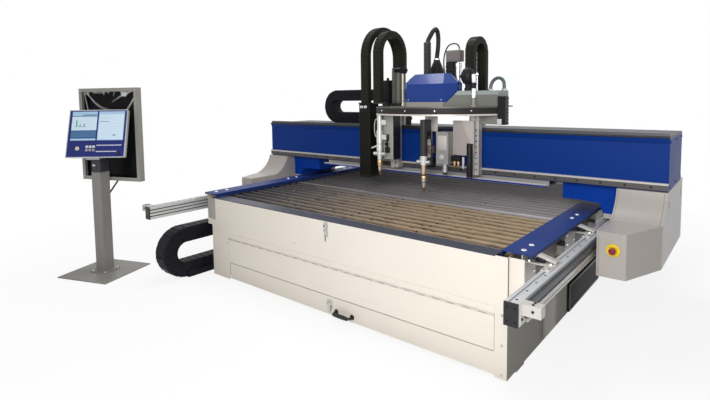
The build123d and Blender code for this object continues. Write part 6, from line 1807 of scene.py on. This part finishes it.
@dataclass
class Console:
    """Liner, lock, rivets and rim of the operator console."""

    half: float = 0.334
    low: float = 0.846
    high: float = 1.702
    depth: float = 0.1735
    crease: float = 0.013
    film: float = 0.0006
    slack: float = 1.02
    cells: tuple[int, int] = (110, 140)
    column_half: float = 0.052
    panel_half: Limits = (0.2605, 0.216)
    overhang: float = 0.002
    rim: float = 0.007

    def local(self) -> Matrix:
        """Frame of the console's base, turned with it."""
        return Matrix.Translation(CONSOLE_AT) @ Matrix.Rotation(CONSOLE_TURN, 4, "Z")

    def wrinkle(self, across: float, up: float) -> tuple[float, float]:
        """Creases of the film at a place on it, and its painted glints.

        Args:
            across: From minus one to one over its width.
            up: From minus one to one over its height.

        Returns:
            How far it stands out, in metres, and how strong its painted glint is, on the creases' ridges and along
            the ragged top hem.
        """
        aside, rise = 1.0 - abs(across), 1.3 * (1.0 - abs(up))
        reach = math.hypot(aside, rise)
        angle = math.atan2(rise, aside + 1e-6)
        phase = 1.7 * (across > 0) + 2.9 * (up > 0)
        fan = (1 - abs(math.sin(angle * 5.0 + phase + 1.3 * noise.noise(Vector((across, up, phase)))))) ** 5
        slack = noise.noise(Vector((across * 2.6 + up, up * 2.1, 3.1)))
        near = math.exp(-2.2 * reach)
        ragged = noise.noise(Vector((across * 7.0, up * 5.0, 5.2)))
        hem = min(1.0, max(0.0, up - 0.86 + 0.1 * ragged) / 0.08) * max(0.0, 0.45 + 1.6 * ragged)
        return self.crease * (fan * near + 0.16 * (1 + slack)), min(1.0, 2.6 * fan * near * (up > 0) + hem)

    def liner(self) -> None:
        """Builds the creased film stretched inside the hood, with the strength of its painted glints on every
        vertex.
        """
        shape = Shape()
        painted_glint = shape.bm.verts.layers.float.new(GLINT_ATTRIBUTE)
        columns, rows = self.cells
        made = bmesh.ops.create_grid(shape.bm, x_segments=columns, y_segments=rows, size=1.0)["verts"]
        middle, tall = (self.low + self.high) / 2, (self.high - self.low) / 2
        for vert in made:
            across, up, _ = vert.co
            out, vert[painted_glint] = self.wrinkle(across, up)
            vert.co = self.local() @ Vector((across * self.half, self.depth - out, middle + up * tall))
        bmesh.ops.reverse_faces(shape.bm, faces=list(shape.bm.faces))
        film = shape.piece("hood_film", "frame", LinerFilm(), "hood_liner")
        film.modifiers.new("film_thickness", "SOLIDIFY").thickness = self.film

    def build(self) -> None:
        """Builds the console's pieces."""
        self.liner()
        local = self.local()
        turn = local.to_3x3()
        ahead = turn @ Vector(AHEAD)
        bolts = [(local @ Vector((x, y, 0.018)), UPRIGHT) for x, y in product((-0.072, 0.072), repeat=2)]
        Screws("stand_bolts", "frame", bolts, 0.009, 0.006, 6, ZINC).build()
        lock = facing(local @ Vector((-0.012, -self.column_half, 1.005)), ahead, turn @ Vector(RIGHT))
        oval = lock @ Matrix.Diagonal((1.5, 1.0, 1.0, 1.0))
        Shape().drum(oval, 0.012, 0.009, 0.01, 20).piece("lock_oval", "frame", ZINC)
        shape = Shape()
        band = self.column_half + self.overhang
        for z in (0.938, 1.06):
            shape.block((-band, -band, z), (band, band, z + 0.005), 0.001, 1, local)
        shape.piece("collar_bands", "frame", COLLAR)
        places = product((-0.325, 0.325), (0.87, 1.06, 1.28, 1.5, 1.69))
        rivets = [(local @ Vector((x, 0.12, z)), ahead) for x, z in places]
        Screws("hood_rivets", "frame", rivets, 0.005, 0.0025, 10, ZINC).build()
        shape = Shape()
        seat = facing(PANEL_AT, PANEL_OUT, PANEL_RIGHT)
        (wide, tall), rim = [half + self.overhang for half in self.panel_half], self.rim
        for low, high in (
            ((-wide, tall - rim), (wide, tall)), ((-wide, -tall), (wide, rim - tall)),
            ((-wide, -tall), (rim - wide, tall)), ((wide - rim, -tall), (wide, tall)),
        ):
            shape.block((*low, -0.01), (*high, 0.0012), 0.001, 1, seat)
        shape.piece("panel_rim", "panel", DRAWN)


NODE_FINISHES: dict[Coating, tuple[str, ...]] = {
    SHELL: ("table_shell",),
    FRONT: ("front_panel",),
    HINGED: ("slag_door", "piano_hinge"),
    WARM_GREY: ("end_housings",),
    STAND_GREY: ("console_base", "console_column"),
    HOOD_GREY: ("console_hood",),
    BEAM_BLUE: ("beam", "beam_end_caps"),
    LEG_BLUE: ("gantry_legs",),
    COVER_NAVY: ("side_covers",),
    HOOD_BLUE: ("motor_cover",),
    DRAWN: ("rails",),
    BRACKET: ("rail_brackets", "rail_trucks"),
    MILLED: ("saddle_posts",),
    ZINC: ("door_catch", "latch_lever"),
    FLOOR_CHAIN: ("chain_trough",),
    PLASTIC: ("rail_end_caps", "door_handle", "feed_knob"),
    BLACK: ("traverse_motor",),
    COLUMN: ("tool_column",),
    COLLAR: ("console_collar",),
    STRIP: ("beam_top_strip",),
    PLATE: ("station_plate",),
    BOX: ("carriage_box",),
    GUIDES: ("beam_guides",),
    RAIL_GUIDES: ("rail_guides",),
    TRAY: ("beam_tray",),
    LIFTER: ("left_torch",),
    CENTRE: ("centre_torch",),
    MARKER: ("marker_unit",),
    PAN: ("slag_pan",),
    COMB: ("slat_combs",),
    YELLOW: ("estop_collar",),
    RED: ("estop_button",),
    KEYCAP: ("panel_key_4", "panel_key_5", "panel_key_6"),
    GREY_KEY: ("panel_key_1", "panel_key_2", "panel_key_3"),
    DIAL: ("start_button",),
    DISPLAY: ("panel_screen",),
    FACE: ("control_panel",),
}


def dress_solids() -> None:
    """Gives every solid that shows its finish."""
    for finish, names in NODE_FINISHES.items():
        for name in names:
            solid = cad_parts[name]
            solid.data.materials.clear()
            solid.data.materials.append(finish.material())
            LOG.info("solid %s takes %s", name, finish.name)


@dataclass
class Lamp:
    """One soft area lamp."""

    name: str
    place: Vec
    target: Vec
    size: float
    power: float

    def hang(self) -> None:
        """Hangs the lamp, turned to its target."""
        data = bpy.data.lights.new(self.name, "AREA")
        data.shape = "DISK"
        data.size = self.size
        data.energy = self.power
        made = bpy.data.objects.new(self.name, data)
        made.matrix_world = facing(self.place, Vector(self.place) - Vector(self.target))
        bpy.context.scene.collection.objects.link(made)


@dataclass
class Studio:
    """Camera, pale floor, soft lamps and white surroundings."""

    eye: Vec = (2.402, -3.834, 1.5957)
    yaw: float = math.radians(39.572)
    pitch: float = math.radians(4.417)
    roll: float = math.radians(-0.723)
    lens: float = 24.863
    sensor: float = 36.0
    drop: float = -0.0915
    view_end: float = 200.0
    floor_size: float = 60.0
    floor_drop: float = 0.0006
    floor_tones: tuple[Colour, Colour] = ((0.86, 0.86, 0.86), (0.88, 0.88, 0.88))
    floor_rough: float = 0.9
    floor_glow: float = 0.86
    floor_near: float = 2.2
    floor_fade: float = 2.6
    fill: float = 0.24
    lamps: tuple[Lamp, ...] = (
        Lamp("key", (1.9, -4.2, 2.3), (0.6, -0.9, 0.5), 2.2, 116.0),
        Lamp("top", (-0.8, 0.4, 6.5), (0.0, 0.0, 0.5), 3.4, 190.0),
        Lamp("left", (-5.5, -3.6, 3.6), (-0.8, -0.6, 0.8), 3.5, 20.0),
    )

    def camera(self) -> None:
        """Sets the camera where the photograph was taken."""
        level = math.cos(self.pitch)
        ahead = Vector((-math.sin(self.yaw) * level, math.cos(self.yaw) * level, -math.sin(self.pitch)))
        right = Vector((math.cos(self.yaw), math.sin(self.yaw), 0.0))
        up = right.cross(ahead)
        side = right * math.cos(self.roll) + up * math.sin(self.roll)
        head = up * math.cos(self.roll) - right * math.sin(self.roll)
        data = bpy.data.cameras.new("studio_camera")
        data.lens = self.lens
        data.sensor_width = self.sensor
        data.sensor_fit = "HORIZONTAL"
        data.shift_y = self.drop
        data.clip_end = self.view_end
        made = bpy.data.objects.new("studio_camera", data)
        turn = Matrix((side, head, -ahead)).transposed().to_4x4()
        made.matrix_world = Matrix.Translation(Vector(self.eye)) @ turn
        bpy.context.scene.collection.objects.link(made)
        bpy.context.scene.camera = made

    def seen(self, graph: Graph) -> Wire:
        """One on the rays that show the surroundings, else zero.

        Args:
            graph: The tree that the nodes go into.

        Returns:
            The share.
        """
        path = graph.node("ShaderNodeLightPath")
        rays = [graph.out(path, key) for key in ("Is Camera Ray", "Is Glossy Ray", "Is Transmission Ray")]
        return (rays[0] + rays[1] + rays[2]).clamped()

    def surroundings(self) -> None:
        """Makes the world white to look at and a soft fill to light with."""
        world = bpy.data.worlds.new("studio_white")
        bpy.context.scene.world = world
        world.use_nodes = True
        graph = Graph(world.node_tree)
        strength = self.fill + self.seen(graph) * (1.0 - self.fill)
        light = graph.node("ShaderNodeBackground", None, {"Color": WHITE, "Strength": strength})
        graph.node("ShaderNodeOutputWorld", None, {0: graph.out(light, 0)})

    def floor(self) -> None:
        """Lays the pale floor, which keeps the machine's soft shadow."""
        material = bpy.data.materials.new("studio_floor")
        material.use_nodes = True
        graph = Graph(material.node_tree)
        tone = graph.mix(graph.noise(graph.place(), 3.0), *self.floor_tones)
        matt = graph.node("ShaderNodeBsdfPrincipled", None, {"Base Color": tone, "Roughness": self.floor_rough})
        glow = graph.node("ShaderNodeEmission", None, {"Color": WHITE, "Strength": 1.0})
        away = graph.node("ShaderNodeVectorMath", {"operation": "LENGTH"}, {0: graph.place()})
        fade = ((graph.out(away, "Value") - self.floor_near) / self.floor_fade).clamped()
        share = self.seen(graph) * (self.floor_glow + fade * (1.0 - self.floor_glow))
        both = graph.node("ShaderNodeMixShader", None, {0: share, 1: graph.out(matt, 0), 2: graph.out(glow, 0)})
        graph.node("ShaderNodeOutputMaterial", None, {0: graph.out(both, 0)})
        shape = Shape()
        bmesh.ops.create_grid(shape.bm, x_segments=1, y_segments=1, size=self.floor_size)
        bmesh.ops.translate(shape.bm, vec=(0.0, 0.0, -self.floor_drop), verts=list(shape.bm.verts))
        made = bpy.data.objects.new("studio_floor", shape.mesh("studio_floor"))
        bpy.context.scene.collection.objects.link(made)
        made.data.materials.append(material)

    def build(self) -> None:
        """Builds the studio."""
        bpy.context.scene.view_settings.view_transform = "Standard"
        self.camera()
        self.surroundings()
        self.floor()
        for lamp in self.lamps:
            lamp.hang()


def main() -> None:
    """Builds the studio and dresses the machine."""
    logging.basicConfig(level=logging.INFO, format="%(message)s")
    Studio().build()
    Cords().build()
    dress_solids()
    for part in (Chains(), SlatBed(), Table(), Rails(), Gantry(), Carriage(), Tools(), Console()):
        part.build()


if __name__ == "__main__":
    main()
